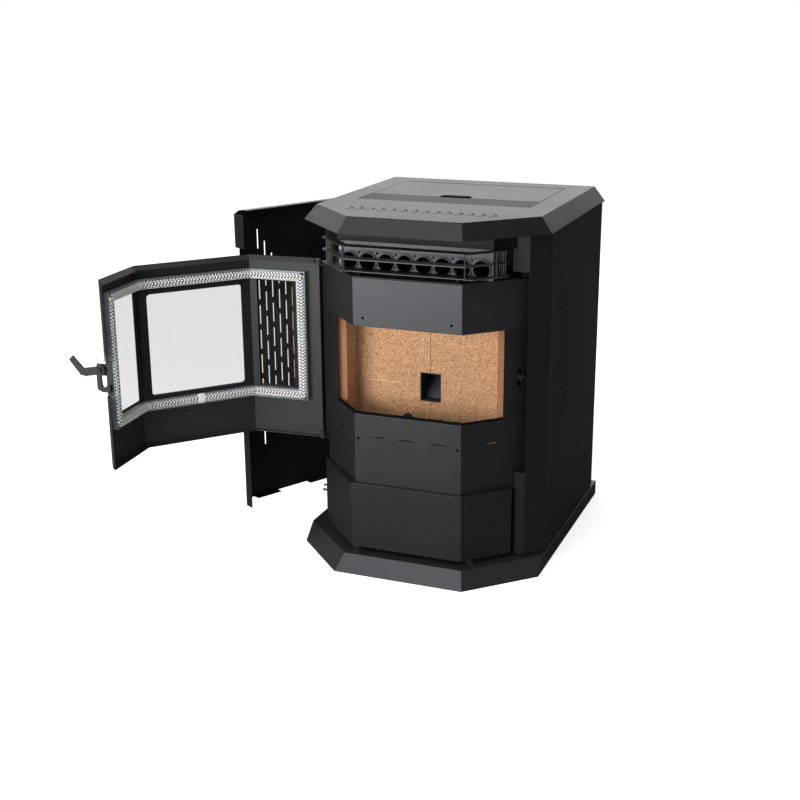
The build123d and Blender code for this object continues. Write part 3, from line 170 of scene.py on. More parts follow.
class Paint:
    """One material and its node tree."""

    def __init__(self, name):
        self.material = bpy.data.materials.new(name)
        self.material.use_nodes = True
        self.tree = self.material.node_tree
        self.tree.nodes.clear()

    def node(self, kind, inputs=(), output=0, **settings):
        """Adds a node: its settings first, then the values or links of its sockets."""
        node = self.tree.nodes.new(kind)
        for key, value in settings.items():
            setattr(node, key, value)
        pairs = inputs.items() if isinstance(inputs, dict) else enumerate(inputs)
        for key, value in pairs:
            if isinstance(value, Value):
                self.tree.links.new(value.socket, node.inputs[key])
            else:
                node.inputs[key].default_value = value
        return Value(self, node.outputs[output]) if node.outputs else None

    def place(self):
        return self.node("ShaderNodeTexCoord", output="Object")

    def noise(self, place, scale, detail=2.0, roughness=0.5):
        sockets = {"Vector": place, "Scale": scale, "Detail": detail, "Roughness": roughness}
        return self.node("ShaderNodeTexNoise", sockets, output="Fac")

    def cells(self, place, scale):
        """A random colour for each cell."""
        return self.node("ShaderNodeTexVoronoi", {"Vector": place, "Scale": scale}, output="Color")

    def stretch(self, place, scale):
        return self.node("ShaderNodeMapping", {"Vector": place, "Scale": scale})

    def step(self, value, low, high):
        """0 below low, 1 above high, smooth between."""
        sockets = {"Value": value, "From Min": low, "From Max": high}
        return self.node("ShaderNodeMapRange", sockets, interpolation_type="SMOOTHSTEP")

    def mix(self, factor, first, second):
        """Colour between two colours, each a triple or a colour socket."""
        colours = [c if isinstance(c, Value) else (*c, 1.0) for c in (first, second)]
        node = self.tree.nodes.new("ShaderNodeMix")
        node.data_type = "RGBA"
        for socket, value in zip((node.inputs[0], node.inputs[6], node.inputs[7]), (factor, *colours)):
            if isinstance(value, Value):
                self.tree.links.new(value.socket, socket)
            else:
                socket.default_value = value
        return Value(self, node.outputs[2])

    def bump(self, height, distance):
        sockets = {"Height": height, "Distance": distance, "Strength": 1.0}
        return self.node("ShaderNodeBump", sockets, output="Normal")

    def finish(self, **sockets):
        """Principled surface; keywords name its sockets with underscores for spaces."""
        named = {key.replace("_", " "): value for key, value in sockets.items()}
        shader = self.node("ShaderNodeBsdfPrincipled", named, output="BSDF")
        self.node("ShaderNodeOutputMaterial", {"Surface": shader})
        return self.material


# near-black of the dark bands in powder_coat; on the louvre's feet it is painted shade
NEAR_BLACK = (0.001, 0.001, 0.001)
# darker red-brown that the front ends of the side boards are given, and its share
END_RED_BROWN = (0.17, 0.068, 0.032)
END_RED_BROWN_SHARE = 0.80


def powder_coat(name, colour, roughness, specular=0.3, grain=1.0, tint=(0.96, 0.97, 1.0), black_heights=None):
    """Baked powder on sheet steel: a fine pebbled grain, cloudy sheen and a few rubbed specks.
    An optional pair of heights: the paint goes from near-black, fully rough, at the first to its own
    colour at the second. On the louvre's feet the near-black is painted shade."""
    paint = Paint(name)
    place = paint.place()
    pebble = paint.noise(place, 620.0, 3.0, 0.6)
    cloud = paint.noise(place, 5.0, 4.0, 0.6)
    specks = paint.step(paint.noise(place, 240.0, 2.0), 0.70, 0.78)
    dark = tuple(c * 0.80 for c in colour)
    light = tuple(min(1.0, c * 1.25) for c in colour)
    base = paint.mix(cloud, dark, light)
    base = paint.mix(specks * 0.25, base, tuple(min(1.0, c * 2.2 + 0.01) for c in colour))
    gloss = roughness - 0.05 + 0.10 * cloud
    # near-black and fully rough past the first height: painted shade on the louvre's feet, a darker top on
    # the sill panel
    if black_heights:
        coat_share = paint.step(paint.node("ShaderNodeSeparateXYZ", (place,), output="Z"), *black_heights)
        base = paint.mix(coat_share, NEAR_BLACK, base)
        gloss = 1.0 - (1.0 - gloss) * coat_share
    return paint.finish(
        Base_Color=base, Roughness=gloss, Specular_IOR_Level=specular,
        Specular_Tint=(*tint, 1.0), Normal=paint.bump(pebble, 0.00035 * grain))


def sheet_steel(name, colour, roughness, metallic=0.9):
    """Plain sheet with rolling streaks and a little uneven tarnish."""
    paint = Paint(name)
    place = paint.place()
    lines = paint.noise(paint.stretch(place, (4.0, 4.0, 260.0)), 1.0, 3.0)
    cloud = paint.noise(place, 16.0, 4.0, 0.6)
    base = paint.mix(cloud, tuple(c * 0.70 for c in colour), colour)
    return paint.finish(
        Base_Color=base, Roughness=roughness + 0.18 * (cloud - 0.5), Metallic=metallic,
        Normal=paint.bump(lines, 0.0001))


def galvanised(name, low, high, metallic=0.85):
    """Zinc-coated sheet: crystal patches between two bluish greys, with soft streaks."""
    paint = Paint(name)
    place = paint.place()
    crystal = paint.cells(place, 260.0)
    patch = paint.node("ShaderNodeSeparateColor", (crystal,), output="Red")
    cloud = paint.noise(place, 22.0, 3.0)
    base = paint.mix(patch * 0.5 + cloud * 0.5, low, high)
    return paint.finish(
        Base_Color=base, Metallic=metallic, Roughness=0.30 + 0.16 * patch,
        Normal=paint.bump(cloud, 0.0002))


def fire_board(name, tan, dark, light, dark_end=None):
    """Pressed vermiculite board: dense dark and pale flakes, and faint level scratches.
    An optional pair of places along Y; the board turns a darker red-brown past the second."""
    paint = Paint(name)
    place = paint.place()
    cloud = paint.noise(place, 9.0, 3.0)
    flake = paint.node("ShaderNodeSeparateColor", (paint.cells(place, 480.0),), output="Red")
    fine = paint.noise(place, 700.0, 2.0, 0.7)
    dark_flakes = paint.step(flake * 0.55 + fine * 0.45, 0.26, 0.50)
    pale_flakes = paint.step(flake * 0.5 + fine * 0.5, 0.58, 0.74)
    base = paint.mix(dark_flakes, dark, tan)
    base = paint.mix(pale_flakes * 0.6, base, light)
    base = paint.mix(cloud * 0.35, base, tuple(c * 0.78 for c in tan))
    lines = paint.noise(paint.stretch(place, (5.0, 5.0, 330.0)), 1.0, 1.0)
    scratch = paint.step(lines, 0.715, 0.755)
    base = paint.mix(scratch * 0.5, base, light)
    if dark_end:
        depth = paint.node("ShaderNodeSeparateXYZ", (place,), output="Y")
        base = paint.mix(paint.step(depth, *dark_end) * END_RED_BROWN_SHARE, base, END_RED_BROWN)
    height = flake * 0.6 + fine * 0.4 - scratch * 0.5
    return paint.finish(
        Base_Color=base, Roughness=0.95, Specular_IOR_Level=0.15, Normal=paint.bump(height, 0.0006))


def pane_glass(name):
    """Clear heat-proof glass, with a faint warm tone and a little smearing in its gloss."""
    paint = Paint(name)
    smear = paint.noise(paint.place(), 9.0, 3.0)
    return paint.finish(
        Base_Color=(0.014, 0.011, 0.009, 1.0), Roughness=0.02 + 0.05 * smear,
        Specular_IOR_Level=0.3, Alpha=0.30)


def knitted_rope(name):
    """Heat-proof yarn: silver-grey stitches with fibres along them, and near-black painted shade in the
    holes between them.
    """
    paint = Paint(name)
    place = paint.place()
    raised = paint.node("ShaderNodeAttribute", output="Fac", attribute_name="raised")
    fibre = paint.noise(place, 1500.0, 3.0, 0.7)
    soot = paint.noise(place, 34.0, 3.0)
    yarn = paint.mix(fibre, (0.36, 0.36, 0.35), (0.84, 0.84, 0.82))
    yarn = paint.mix(soot * 0.4, yarn, (0.34, 0.33, 0.31))
    # holes between stitches, where the knit is low, are painted near-black: painted shade
    base = paint.mix(paint.step(raised, 0.48, 0.62), (0.002, 0.002, 0.002), yarn)
    return paint.finish(
        Base_Color=base, Roughness=0.50, Specular_IOR_Level=0.5, Sheen_Weight=0.15,
        Normal=paint.bump(fibre, 0.0003))


BODY = powder_coat("charcoal_powder_coat", (0.0080, 0.0080, 0.0078), 0.42, 0.32, 1.0, (0.94, 0.95, 1.0))
FACE = powder_coat("face_powder_coat", (0.0085, 0.0085, 0.0085), 0.42, 0.42, 1.0, (0.90, 0.92, 1.0))
HEADER = powder_coat("header_powder_coat", (0.0100, 0.0100, 0.0105), 0.42, 0.52, 1.0, (0.90, 0.92, 1.0))
TOP = powder_coat("top_powder_coat", (0.021, 0.021, 0.022), 0.42, 0.42)
# darker copy of the top's paint for the top cover's faces that don't look up: painted shade
SHADED_SLOPE = powder_coat("shaded_slope_powder_coat", (0.009, 0.009, 0.0095), 0.42, 0.19, 1.0, (0.95, 0.93, 1.0))
STRIP = powder_coat("smooth_strip", (0.006, 0.006, 0.0065), 0.44, 0.06, 0.4)
DOOR = powder_coat("door_powder_coat", (0.017, 0.017, 0.0175), 0.42, 0.25, 1.0, (0.94, 0.95, 1.0))
# darker coat for the right side panel's front-facing faces: painted shade
LIP = powder_coat("shaded_panel_lip_coat", (0.006, 0.006, 0.006), 0.46, 0.14)
# light grey for the right side panel's narrow inward-facing rims: a painted highlight
RIM = powder_coat("panel_rim_painted_highlight", (0.16, 0.16, 0.165), 0.5, 0.3)
PLINTH = powder_coat("plinth_powder_coat", (0.010, 0.010, 0.0105), 0.40, 0.50, 1.0, (0.90, 0.91, 1.0))
PANEL = powder_coat("panel_powder_coat", (0.0075, 0.0074, 0.0062), 0.46, 0.22, 1.0, (1.0, 0.98, 0.90))
BLACKENED = powder_coat("blackened_screw", (0.002, 0.002, 0.002), 0.7, 0.05)
# near-black and rough above SILL_EDGE: the sill panel's top is painted darker
SILL_COAT = powder_coat("sill_powder_coat", (0.0085, 0.0085, 0.0085), 0.42, 0.42, 1.0, (0.90, 0.92, 1.0),
                        SILL_EDGE)
# the louvre's feet, below LOUVRE_FOOT_TOP, are painted near-black and rough: painted shade under the
# lowest blade
LOUVRE = powder_coat("bronze_louvre_coat", (0.030, 0.028, 0.021), 0.42, 0.45, 0.8, (1.0, 0.98, 0.92),
                     LOUVRE_FOOT_TOP)
# darker than the body paint: painted shade on the valance under the cover's slope
SHADED_VALANCE = powder_coat("shaded_valance_coat", (0.005, 0.005, 0.006), 0.50, 0.14)
HEATPROOF = powder_coat("heat_proof_black", (0.010, 0.010, 0.010), 0.62, 0.25)
HARDWARE = powder_coat("black_hardware", (0.012, 0.0115, 0.010), 0.50, 0.28, 0.7, (1.0, 0.99, 0.96))
MOTOR = powder_coat("motor_paint", (0.035, 0.035, 0.038), 0.45, 0.4)
MOULDED = powder_coat("moulded_plastic", (0.015, 0.015, 0.016), 0.42, 0.4, 0.5)
STEEL = sheet_steel("plain_sheet_steel", (0.42, 0.42, 0.43), 0.36)
CHUTE = sheet_steel("chute_steel", (0.075, 0.075, 0.075), 0.55, 0.6)
TUBE = sheet_steel("exchanger_tube", (0.060, 0.060, 0.065), 0.55, 0.5)
PLATE = galvanised("zinc_tube_plate", (0.009, 0.010, 0.012), (0.044, 0.047, 0.054), 0.55)
CAST = powder_coat("cast_pot", (0.020, 0.019, 0.018), 0.68, 0.3, 3.0)
ZINC = sheet_steel("zinc_screw", (0.50, 0.50, 0.50), 0.30)
BRIGHT = sheet_steel("bright_plate", (0.80, 0.80, 0.80), 0.18, 1.0)
ZINC_SHEET = galvanised("galvanised_channel", (0.10, 0.13, 0.15), (0.30, 0.36, 0.40), 0.45)
BOARD = fire_board("fire_board", (0.50, 0.28, 0.148), (0.27, 0.125, 0.055), (0.68, 0.44, 0.27))
SIDE_BOARD = fire_board("side_fire_board", (0.52, 0.30, 0.17), (0.26, 0.13, 0.065), (0.68, 0.44, 0.28),
                        SIDE_BOARD_END)
GLASS = pane_glass("pane_glass")
ROPE = knitted_rope("knitted_rope")
TIE = powder_coat("white_tie", (0.54, 0.54, 0.53), 0.5, 0.4)
CLIP = powder_coat("dull_clip", (0.16, 0.155, 0.14), 0.5, 0.3)
FIBRE = powder_coat("black_fibre", (0.002, 0.002, 0.002), 0.95, 0.1, 4.0)

FINISH = {
    "base_plinth": PLINTH, "base_pan": BODY, "front_posts": BODY, "rear_posts": BODY, "side_rails": STEEL,
    "rear_panel": BODY, "top_cover": TOP, "control_strip": STRIP, "control_box": MOULDED,
    "lid_hinges": HARDWARE, "hopper_lid": TOP, "header_panel": HEADER, "lower_panel": SILL_COAT,
    "face_jambs": FACE, "firebox_shell": HEATPROOF, "side_bricks": SIDE_BOARD, "back_bricks": BOARD,
    "burn_pot": CAST, "igniter": STEEL, "air_chest": HEATPROOF, "tube_plate": PLATE, "heat_tubes": TUBE,
    "exchanger_shell": STEEL, "firebox_cap": HEATPROOF, "louvre_grille": LOUVRE, "valance": SHADED_VALANCE,
    "hopper": STEEL, "auger_tube": STEEL, "auger_screw": STEEL, "auger_motor": MOTOR,
    "pellet_chute": CHUTE, "exhaust_blower": STEEL, "exhaust_duct": STEEL, "exhaust_motor": MOTOR,
    "exhaust_fan": STEEL, "room_blower": STEEL, "room_motor": MOTOR, "room_fan": STEEL,
    "air_duct": STEEL, "air_intake": STEEL, "damper_guide": STEEL, "damper_rod": STEEL,
    "power_inlet": MOULDED, "door_hinges": HARDWARE, "latch_catch": FACE, "corner_stiles": BODY,
    "drawer_runners": STEEL, "face_screws": ZINC, "ash_front": BODY, "ash_pan": STEEL,
    "side_panel_left": BODY, "side_panel_right": PANEL, "door_frame": DOOR, "glass_center": GLASS,
    "glass_sides": GLASS, "pane_retainers": BODY, "gasket_channel": ZINC_SHEET, "rope_gasket": ROPE,
    "latch_bracket": HARDWARE, "latch_handle": HARDWARE,
}


def paint_node(node, material):
    """Gives a node of the frame one material."""
    mesh = frame["nodes"][node].data
    mesh.materials.clear()
    mesh.materials.append(material)


for node, material in FINISH.items():
    paint_node(node, material)


# ---------------------------------------------------------------- meshes

def piece(name, mesh, material, body):
    """Shows a finished mesh as a piece that rides on a body."""
    shape = bpy.data.objects.new(name, mesh)
    bpy.context.scene.collection.objects.link(shape)
    mesh.materials.clear()
    mesh.materials.append(material)
    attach(shape, body)
    return shape


def surface_mesh(name, grids, smooth=True):
    """Mesh of point grids (rows, columns, 3). Each comes with two flags: whether the rows and
    whether the columns close round on themselves."""
    points, faces, start = [], [], 0
    for grid, rows_close, columns_close in grids:
        rows, columns = grid.shape[:2]
        i = np.arange(rows if rows_close else rows - 1)
        j = np.arange(columns if columns_close else columns - 1)
        i, j = np.meshgrid(i, j, indexing="ij")
        i1, j1 = (i + 1) % rows, (j + 1) % columns
        quads = np.stack([i * columns + j, i1 * columns + j, i1 * columns + j1, i * columns + j1], -1)
        faces.append(quads.reshape(-1, 4) + start)
        points.append(grid.reshape(-1, 3))
        start += rows * columns
    mesh = bpy.data.meshes.new(name)
    mesh.from_pydata(np.concatenate(points), [], np.concatenate(faces).tolist())
    mesh.polygons.foreach_set("use_smooth", np.full(len(mesh.polygons), smooth))
    return mesh


def outward(mesh):
    """Merges doubled points and turns every face outwards."""
    work = bmesh.new()
    work.from_mesh(mesh)
    bmesh.ops.remove_doubles(work, verts=work.verts, dist=1e-6)
    bmesh.ops.recalc_face_normals(work, faces=work.faces)
    work.to_mesh(mesh)
    work.free()
    return mesh


def turned(profile, origin, axis, count):
    """Grid of a profile of (radius, distance along the axis) turned round the axis, with
    `count` sides."""
    axis = Vector(axis).normalized()
    side = axis.orthogonal().normalized()
    other = axis.cross(side)
    angle = np.linspace(0.0, 2.0 * pi, count, endpoint=False)
    round_part = np.outer(np.cos(angle), side) + np.outer(np.sin(angle), other)
    radius, along = np.array(profile).T
    grid = radius[:, None, None] * round_part[None] + along[:, None, None] * np.array(axis)
    return grid + np.array(origin), False, True


def opened(points):
    """Points of the shut door turned about its hinge line to where the door stands."""
    angle = radians(-DOOR_OPEN)
    x, y = points[..., 0] - DOOR_AXIS[0], points[..., 1] - DOOR_AXIS[1]
    return np.stack([DOOR_AXIS[0] + cos(angle) * x - sin(angle) * y,
                     DOOR_AXIS[1] + sin(angle) * x + cos(angle) * y, points[..., 2]], -1)


def facet_point(side, s, n, z):
    """Point near a side face, from its distances s and n."""
    return np.array([side * (s + n) / R2, (s - n) / R2, z])


# ---------------------------------------------------------------- softened sheet metal

def softened(node, width):
    """Copy of a node with its edges rounded: fold lines between broad faces by `width`,
    and the narrow rims of the sheet by a quarter of it. Short edges, as round the slots, stay.
    Flat faces are shaded flat and curved ones smooth."""
    source = frame["nodes"][node]
    mesh = source.data.copy()
    work = bmesh.new()
    work.from_mesh(mesh)
    bmesh.ops.remove_doubles(work, verts=work.verts, dist=2e-6)
    bmesh.ops.dissolve_limit(work, angle_limit=SAME_PLANE, verts=work.verts, edges=work.edges)
    weights = work.edges.layers.float.new("bevel_weight_edge")
    breadth = {}
    for face in work.faces:
        breadth[face] = face.calc_area() / max(edge.calc_length() for edge in face.edges)
        face.smooth = any(FLAT_ANGLE < edge.calc_face_angle(pi) < FOLD_ANGLE for edge in face.edges)
    for edge in work.edges:
        if len(edge.link_faces) == 2 and edge.calc_face_angle(0.0) > FOLD_ANGLE:
            if edge.calc_length() > SHORTEST_FOLD:
                narrow = min(breadth[face] for face in edge.link_faces) < RIM_BREADTH * width
                edge[weights] = RIM_SHARE if narrow else 1.0
            else:
                edge.smooth = False
    work.to_mesh(mesh)
    work.free()
    if "custom_normal" in mesh.attributes:
        mesh.attributes.remove(mesh.attributes["custom_normal"])
    shape = piece(f"{node}_sheet", mesh, FINISH[node], BODY_OF[node])
    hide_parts(node)
    bevel = shape.modifiers.new("folds", "BEVEL")
    bevel.width = width
    bevel.segments = 2
    bevel.limit_method = "WEIGHT"
    bevel.use_clamp_overlap = False
    bevel.harden_normals = True


SOFTENED = {
    "base_plinth": 0.0016, "top_cover": 0.0016, "header_panel": 0.0014, "lower_panel": 0.0014,
    "ash_front": 0.0010, "corner_stiles": 0.0008, "hopper_lid": 0.0008, "valance": 0.0008,
    "side_panel_left": 0.0008, "side_panel_right": 0.0002, "door_frame": 0.0012,
    "louvre_grille": 0.0006, "front_posts": 0.0010, "control_strip": 0.0006, "latch_handle": 0.0008,
}
for node, width in SOFTENED.items():
    softened(node, width)


def second_coat(name, material, chosen):
    """Gives another material to the faces of a piece for which `chosen` holds."""
    mesh = bpy.data.objects[name].data
    mesh.materials.append(material)
    for face in mesh.polygons:
        if chosen(face):
            face.material_index = len(mesh.materials) - 1


# the top cover's faces that don't look straight up get the darker coat: painted shade
second_coat("top_cover_sheet", SHADED_SLOPE, lambda face: face.normal.z < FACING)
# the right side panel's front-facing faces get the darker coat: painted shade
second_coat("side_panel_right_sheet", LIP, lambda face: face.normal.y < -FACING)
# the right side panel's narrow rims that face inwards get the light grey: a painted highlight
second_coat("side_panel_right_sheet", RIM, lambda face: face.normal.x < -FACING and face.area < RIM_AREA)


# ---------------------------------------------------------------- rope gasket

def rounded_loop(half_width, low, high, corner, spacing):
    """Evenly spaced points (u, z) round a rectangle with rounded corners, and the outward
    direction at each, as a closed loop run anticlockwise from the middle of its bottom."""
    quarter = np.linspace(0.0, pi / 2, 9)
    right, bottom, top = half_width - corner, low + corner, high - corner
    parts = [np.array([[0.0, low]])]
    corners = ((right, bottom, -pi / 2), (right, top, 0.0), (-right, top, pi / 2), (-right, bottom, pi))
    for u, z, start in corners:
        angle = start + quarter
        parts.append(np.stack([u + corner * np.cos(angle), z + corner * np.sin(angle)], -1))
    outline = np.concatenate(parts + [parts[0]])
    run = np.concatenate([[0.0], np.cumsum(np.linalg.norm(np.diff(outline, axis=0), axis=1))])
    count = int(run[-1] / spacing)
    at = np.linspace(0.0, run[-1], count, endpoint=False)
    points = np.stack([np.interp(at, run, outline[:, k]) for k in range(2)], -1)
    ahead = np.roll(points, -3, axis=0) - np.roll(points, 3, axis=0)
    ahead /= np.linalg.norm(ahead, axis=1)[:, None]
    return points, np.stack([ahead[:, 1], -ahead[:, 0]], -1), at


def fold(u, depth, z):
    """Point of the shut door from its distance along the skin, depth behind the skin and
    height. The skin is flat, then turns 45 degrees round an arc at each bend."""
    run = np.abs(u)
    start = BEND_X - BEND_RADIUS * tan(pi / 8)
    turn = np.clip((run - start) / BEND_RADIUS, 0.0, pi / 4)
    past = np.maximum(run - start - BEND_RADIUS * pi / 4, 0.0)
    x = np.minimum(run, start) + BEND_RADIUS * np.sin(turn) + past / R2
    y = DOOR_FRONT + BEND_RADIUS * (1.0 - np.cos(turn)) + past / R2
    return np.stack([np.sign(u) * (x - depth * np.sin(turn)), y + depth * np.cos(turn), z], -1)


def knit_height(along, around):
    """Height of the knit, 0 to 1: columns of slanting stitches that change side from one
    column to the next. A lens-shaped hole lies between one stitch and the next, deepest in
    the middle of a column and shallower where two columns meet."""
    column = around * STITCH_COLUMNS
    across = column - np.floor(column)
    slant = np.where(np.floor(column) % 2 == 0, across, 1.0 - across)
    phase = along / STITCH + slant * STITCH_SLANT
    gap = np.sqrt(1.0 - np.abs(np.sin(pi * phase)))
    return 1.0 - gap * (HOLE_AT_EDGE + (1.0 - HOLE_AT_EDGE) * np.sin(pi * across))


def rope_gasket():
    """Knitted rope seated in its channel: an oval section carried round the loop, raised
    by the knit on all the part that shows."""
    points, outwards, along = rounded_loop(LOOP_HALF, *LOOP_Z, LOOP_CORNER, ROPE_SPACING)
    around = np.concatenate([np.linspace(*KNITTED_ARC), np.linspace(*SEATED_ARC)])
    angle = 2.0 * pi * around
    low, high = ROPE_DEPTHS
    middle, half_depth = (low + high) / 2, (high - low) / 2
    knit = knit_height(along[:, None], around[None, :])
    swell = 1.0 - STITCH_DEPTH / ROPE_HALF * (1.0 - knit)
    flat = np.sign(np.cos(angle)) * np.abs(np.cos(angle)) ** ROPE_BOXINESS
    tall = np.sign(np.sin(angle)) * np.abs(np.sin(angle)) ** ROPE_BOXINESS
    aside = ROPE_HALF * flat[None, :] * swell - ROPE_SPILL * np.maximum(tall, 0.0)[None, :]
    depth = middle + half_depth * tall[None, :] * swell
    u = points[:, :1] + outwards[:, :1] * aside
    z = points[:, 1:] + outwards[:, 1:] * aside
    mesh = surface_mesh("gasket_rope", [(opened(fold(u, depth, z)), True, True)])
    raised = mesh.attributes.new("raised", "FLOAT", "POINT")
    raised.data.foreach_set("value", knit.ravel().astype(np.float32))
    rope = piece("gasket_rope", mesh, ROPE, "door")
    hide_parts("rope_gasket")


rope_gasket()


# ---------------------------------------------------------------- screws and small fittings

def screw_head(origin, axis, radius, height):
    """Domed head: a profile from the seat round to the crown, and a sunk round drive."""
    rim, crown, sunk, bottom = 0.25 * height, 0.93 * height, 0.45 * height, 0.40 * height
    drive = 0.36 * radius
    rise = [angle for angle in np.linspace(0.0, pi / 2, 6) if cos(angle) > 0.4]
    dome = [(radius * cos(angle), rim + (height - rim) * sin(angle)) for angle in rise]
    profile = [(0.0, -height), (radius, -height), (radius, 0.0)] + dome
    profile += [(drive, crown), (0.85 * drive, sunk), (0.0, bottom)]
    return turned(profile, origin, axis, 20)


def face_screws():
    """Screws of the header and lower panels, and those between the exchanger tubes."""
    face_radius, plate_radius, rise = 0.0034, 0.0028, 0.0016
    places = [((x, FACE_FRONT, z), face_radius) for x, z in FACE_SCREWS]
    places += [((TUBE_PITCH * (i - (TUBES - 2) / 2), TUBE_PLATE_Y, PLATE_SCREW_Z), plate_radius)
               for i in range(TUBES - 1)]
    grids = [screw_head(origin, (0, -1, 0), radius, rise) for origin, radius in places]
    screws = piece("face_screw_heads", outward(surface_mesh("face_screw_heads", grids)), BLACKENED,
                   BODY_OF["face_screws"])
    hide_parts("face_screws")


face_screws()


def plate(name, outline, thickness):
    """Closed flat plate from the points of its outline and the vector of its thickness."""
    outline = np.array(outline, float)
    count = len(outline)
    faces = [list(range(count))[::-1], list(range(count, 2 * count))]
    faces += [[i, (i + 1) % count, (i + 1) % count + count, i + count] for i in range(count)]
    mesh = bpy.data.meshes.new(name)
    mesh.from_pydata(np.concatenate([outline, outline + np.array(thickness)]), [], faces)
    return outward(mesh)


def rope_tie():
    """White binding wound round the rope where its two ends meet, at the bottom of the loop."""
    half_length, radius, lift = 0.009, 0.0112, 0.0012
    turns, ridge, tallest = 2.5, 0.11, 1.03
    along = np.linspace(-half_length, half_length, 15)
    around = np.linspace(0.0, 2.0 * pi, 28, endpoint=False)
    low, high = ROPE_DEPTHS
    middle, half_depth = (low + high) / 2, (high - low) / 2
    share = along / half_length
    swell = 1.02 + ridge * np.abs(np.sin(turns * pi * share)) * (1.0 - share ** 2)
    u = np.repeat(along[:, None], len(around), axis=1)
    depth = middle + half_depth * np.minimum(np.sin(around)[None, :] * swell[:, None], tallest)
    z = LOOP_Z[0] + radius * np.cos(around)[None, :] * swell[:, None] + lift
    mesh = surface_mesh("rope_tie", [(opened(fold(u, depth, z)), False, True)])
    ends = bmesh.new()
    ends.from_mesh(mesh)
    bmesh.ops.holes_fill(ends, edges=ends.edges)
    ends.to_mesh(mesh)
    ends.free()
    piece("rope_tie", outward(mesh), TIE, "door")


def sill_gasket():
    """Black braided strip that lies along the sill, in front of the fire boards. Its height
    rises and falls along X as a sine."""
    pitch, ridge = 0.0052, 0.0005 / 0.0032
    bend = FACE_LEAN + FACE_FRONT
    section = np.array([(0.0010, 0.0), (0.0010, 0.0020), (0.0030, 0.0032), (0.0120, 0.0032),
                        (0.0140, 0.0020), (0.0140, 0.0)])
    x = np.linspace(-SILL_END, SILL_END, 420)
    edge = FACE_FRONT + np.maximum(np.abs(x) - bend, 0.0)
    braid = 1.0 + ridge * np.sin(x * 2.0 * pi / pitch)
    grid = np.stack([np.repeat(x[:, None], len(section), axis=1),
                     edge[:, None] + section[None, :, 0],
                     SILL + section[None, :, 1] * braid[:, None]], -1)
    mesh = outward(surface_mesh("sill_gasket", [(grid, False, True)]))
    piece("sill_gasket", mesh, FIBRE, BODY_OF["lower_panel"])


def opened_direction(direction):
    """Direction on the shut door, turned to where the door stands."""
    tip, root = opened(np.array([direction, (0.0, 0.0, 0.0)]))
    return tip - root


def door_fittings():
    """Gusset over the latch notch, nut and end of the pivot bolt, a screw and a rivet."""
    inwards = opened_direction((0.0, 1.0, 0.0))
    along = opened_direction(facet_point(1, 1.0, 0.0, 0.0))
    outline = [opened(np.array([GUSSET_X, y, z])) for y, z in GUSSET_OUTLINE]
    gusset = plate("latch_gusset", outline, opened_direction((GUSSET_SHEET, 0.0, 0.0)))
    piece("latch_gusset", gusset, CLIP, "door")
    pivot = opened(facet_point(1, LATCH_S, LATCH_N, LATCH_Z))
    nut = [(0.0, LATCH_NUT_SPAN[0]), (LATCH_NUT_RADIUS, LATCH_NUT_SPAN[0]),
           (LATCH_NUT_RADIUS, LATCH_NUT_SPAN[1]), (0.0, LATCH_NUT_SPAN[1])]
    bolt = [(0.0, 0.0088), (0.0034, 0.0088), (0.0034, 0.0104), (0.0026, 0.0110), (0.0, 0.0110)]
    grids = [turned(nut, pivot, along, 6), turned(bolt, pivot, along, 20)]
    piece("latch_nut", outward(surface_mesh("latch_nut", grids, False)), HARDWARE, "door")
    for name, (x, z), radius, rise, metal in (
            ("door_screw", DOOR_SCREW, 0.0026, 0.0010, BLACKENED),
            ("door_rivet", DOOR_RIVET, 0.0020, 0.0008, BRIGHT)):
        head = screw_head(opened(np.array([x, DOOR_FRONT + DOOR_SKIN, z])), inwards, radius, rise)
        piece(name, outward(surface_mesh(name, [head])), metal, "door")


def louvre_clips():
    """Two dull spring clips at the left bend of the louvre's upper blades."""
    for name, ((left, right), (low, high)) in LOUVRE_CLIPS.items():
        outline = [(x, LOUVRE_CLIP_Y, z) for x, z in
                   ((left, low), (right, low), (right, high), (left, high))]
        clip = plate(f"louvre_clip_{name}", outline, (0.0, -0.0012, 0.0))
        piece(f"louvre_clip_{name}", clip, CLIP, BODY_OF["louvre_grille"])


rope_tie()
sill_gasket()
door_fittings()
louvre_clips()


# ---------------------------------------------------------------- stage, light and camera

SKY_LIGHT = 0.45
SKY_GLOSS = 0.22

# name, place, the point it is aimed at, width and height, watts
LAMPS = (
    ("key_softbox", (-1.15, -2.75, 0.80), (0.0, -0.25, 0.50), (1.6, 1.0), 85.0),
    ("overhead_softbox", (-0.55, -1.45, 2.8), (0.0, -0.2, 0.5), (2.2, 1.8), 58.0),
    ("left_softbox", (-3.2, 1.3, 2.0), (0.0, -0.1, 0.8), (1.6, 1.2), 16.0),
    ("back_softbox", (-1.2, 4.2, 1.9), (0.0, 0.0, 0.8), (5.0, 1.8), 56.0),
)


def lamp(name, place, target, size, watts):
    """Soft white lamp aimed at a point, not seen itself."""
    light = bpy.data.lights.new(name, "AREA")
    light.shape = "RECTANGLE"
    light.size, light.size_y = size
    light.energy = watts
    holder = bpy.data.objects.new(name, light)
    bpy.context.scene.collection.objects.link(holder)
    holder.location = place
    holder.rotation_euler = (Vector(target) - Vector(place)).to_track_quat("-Z", "Y").to_euler()
    holder.visible_camera = False
    holder.visible_transmission = False


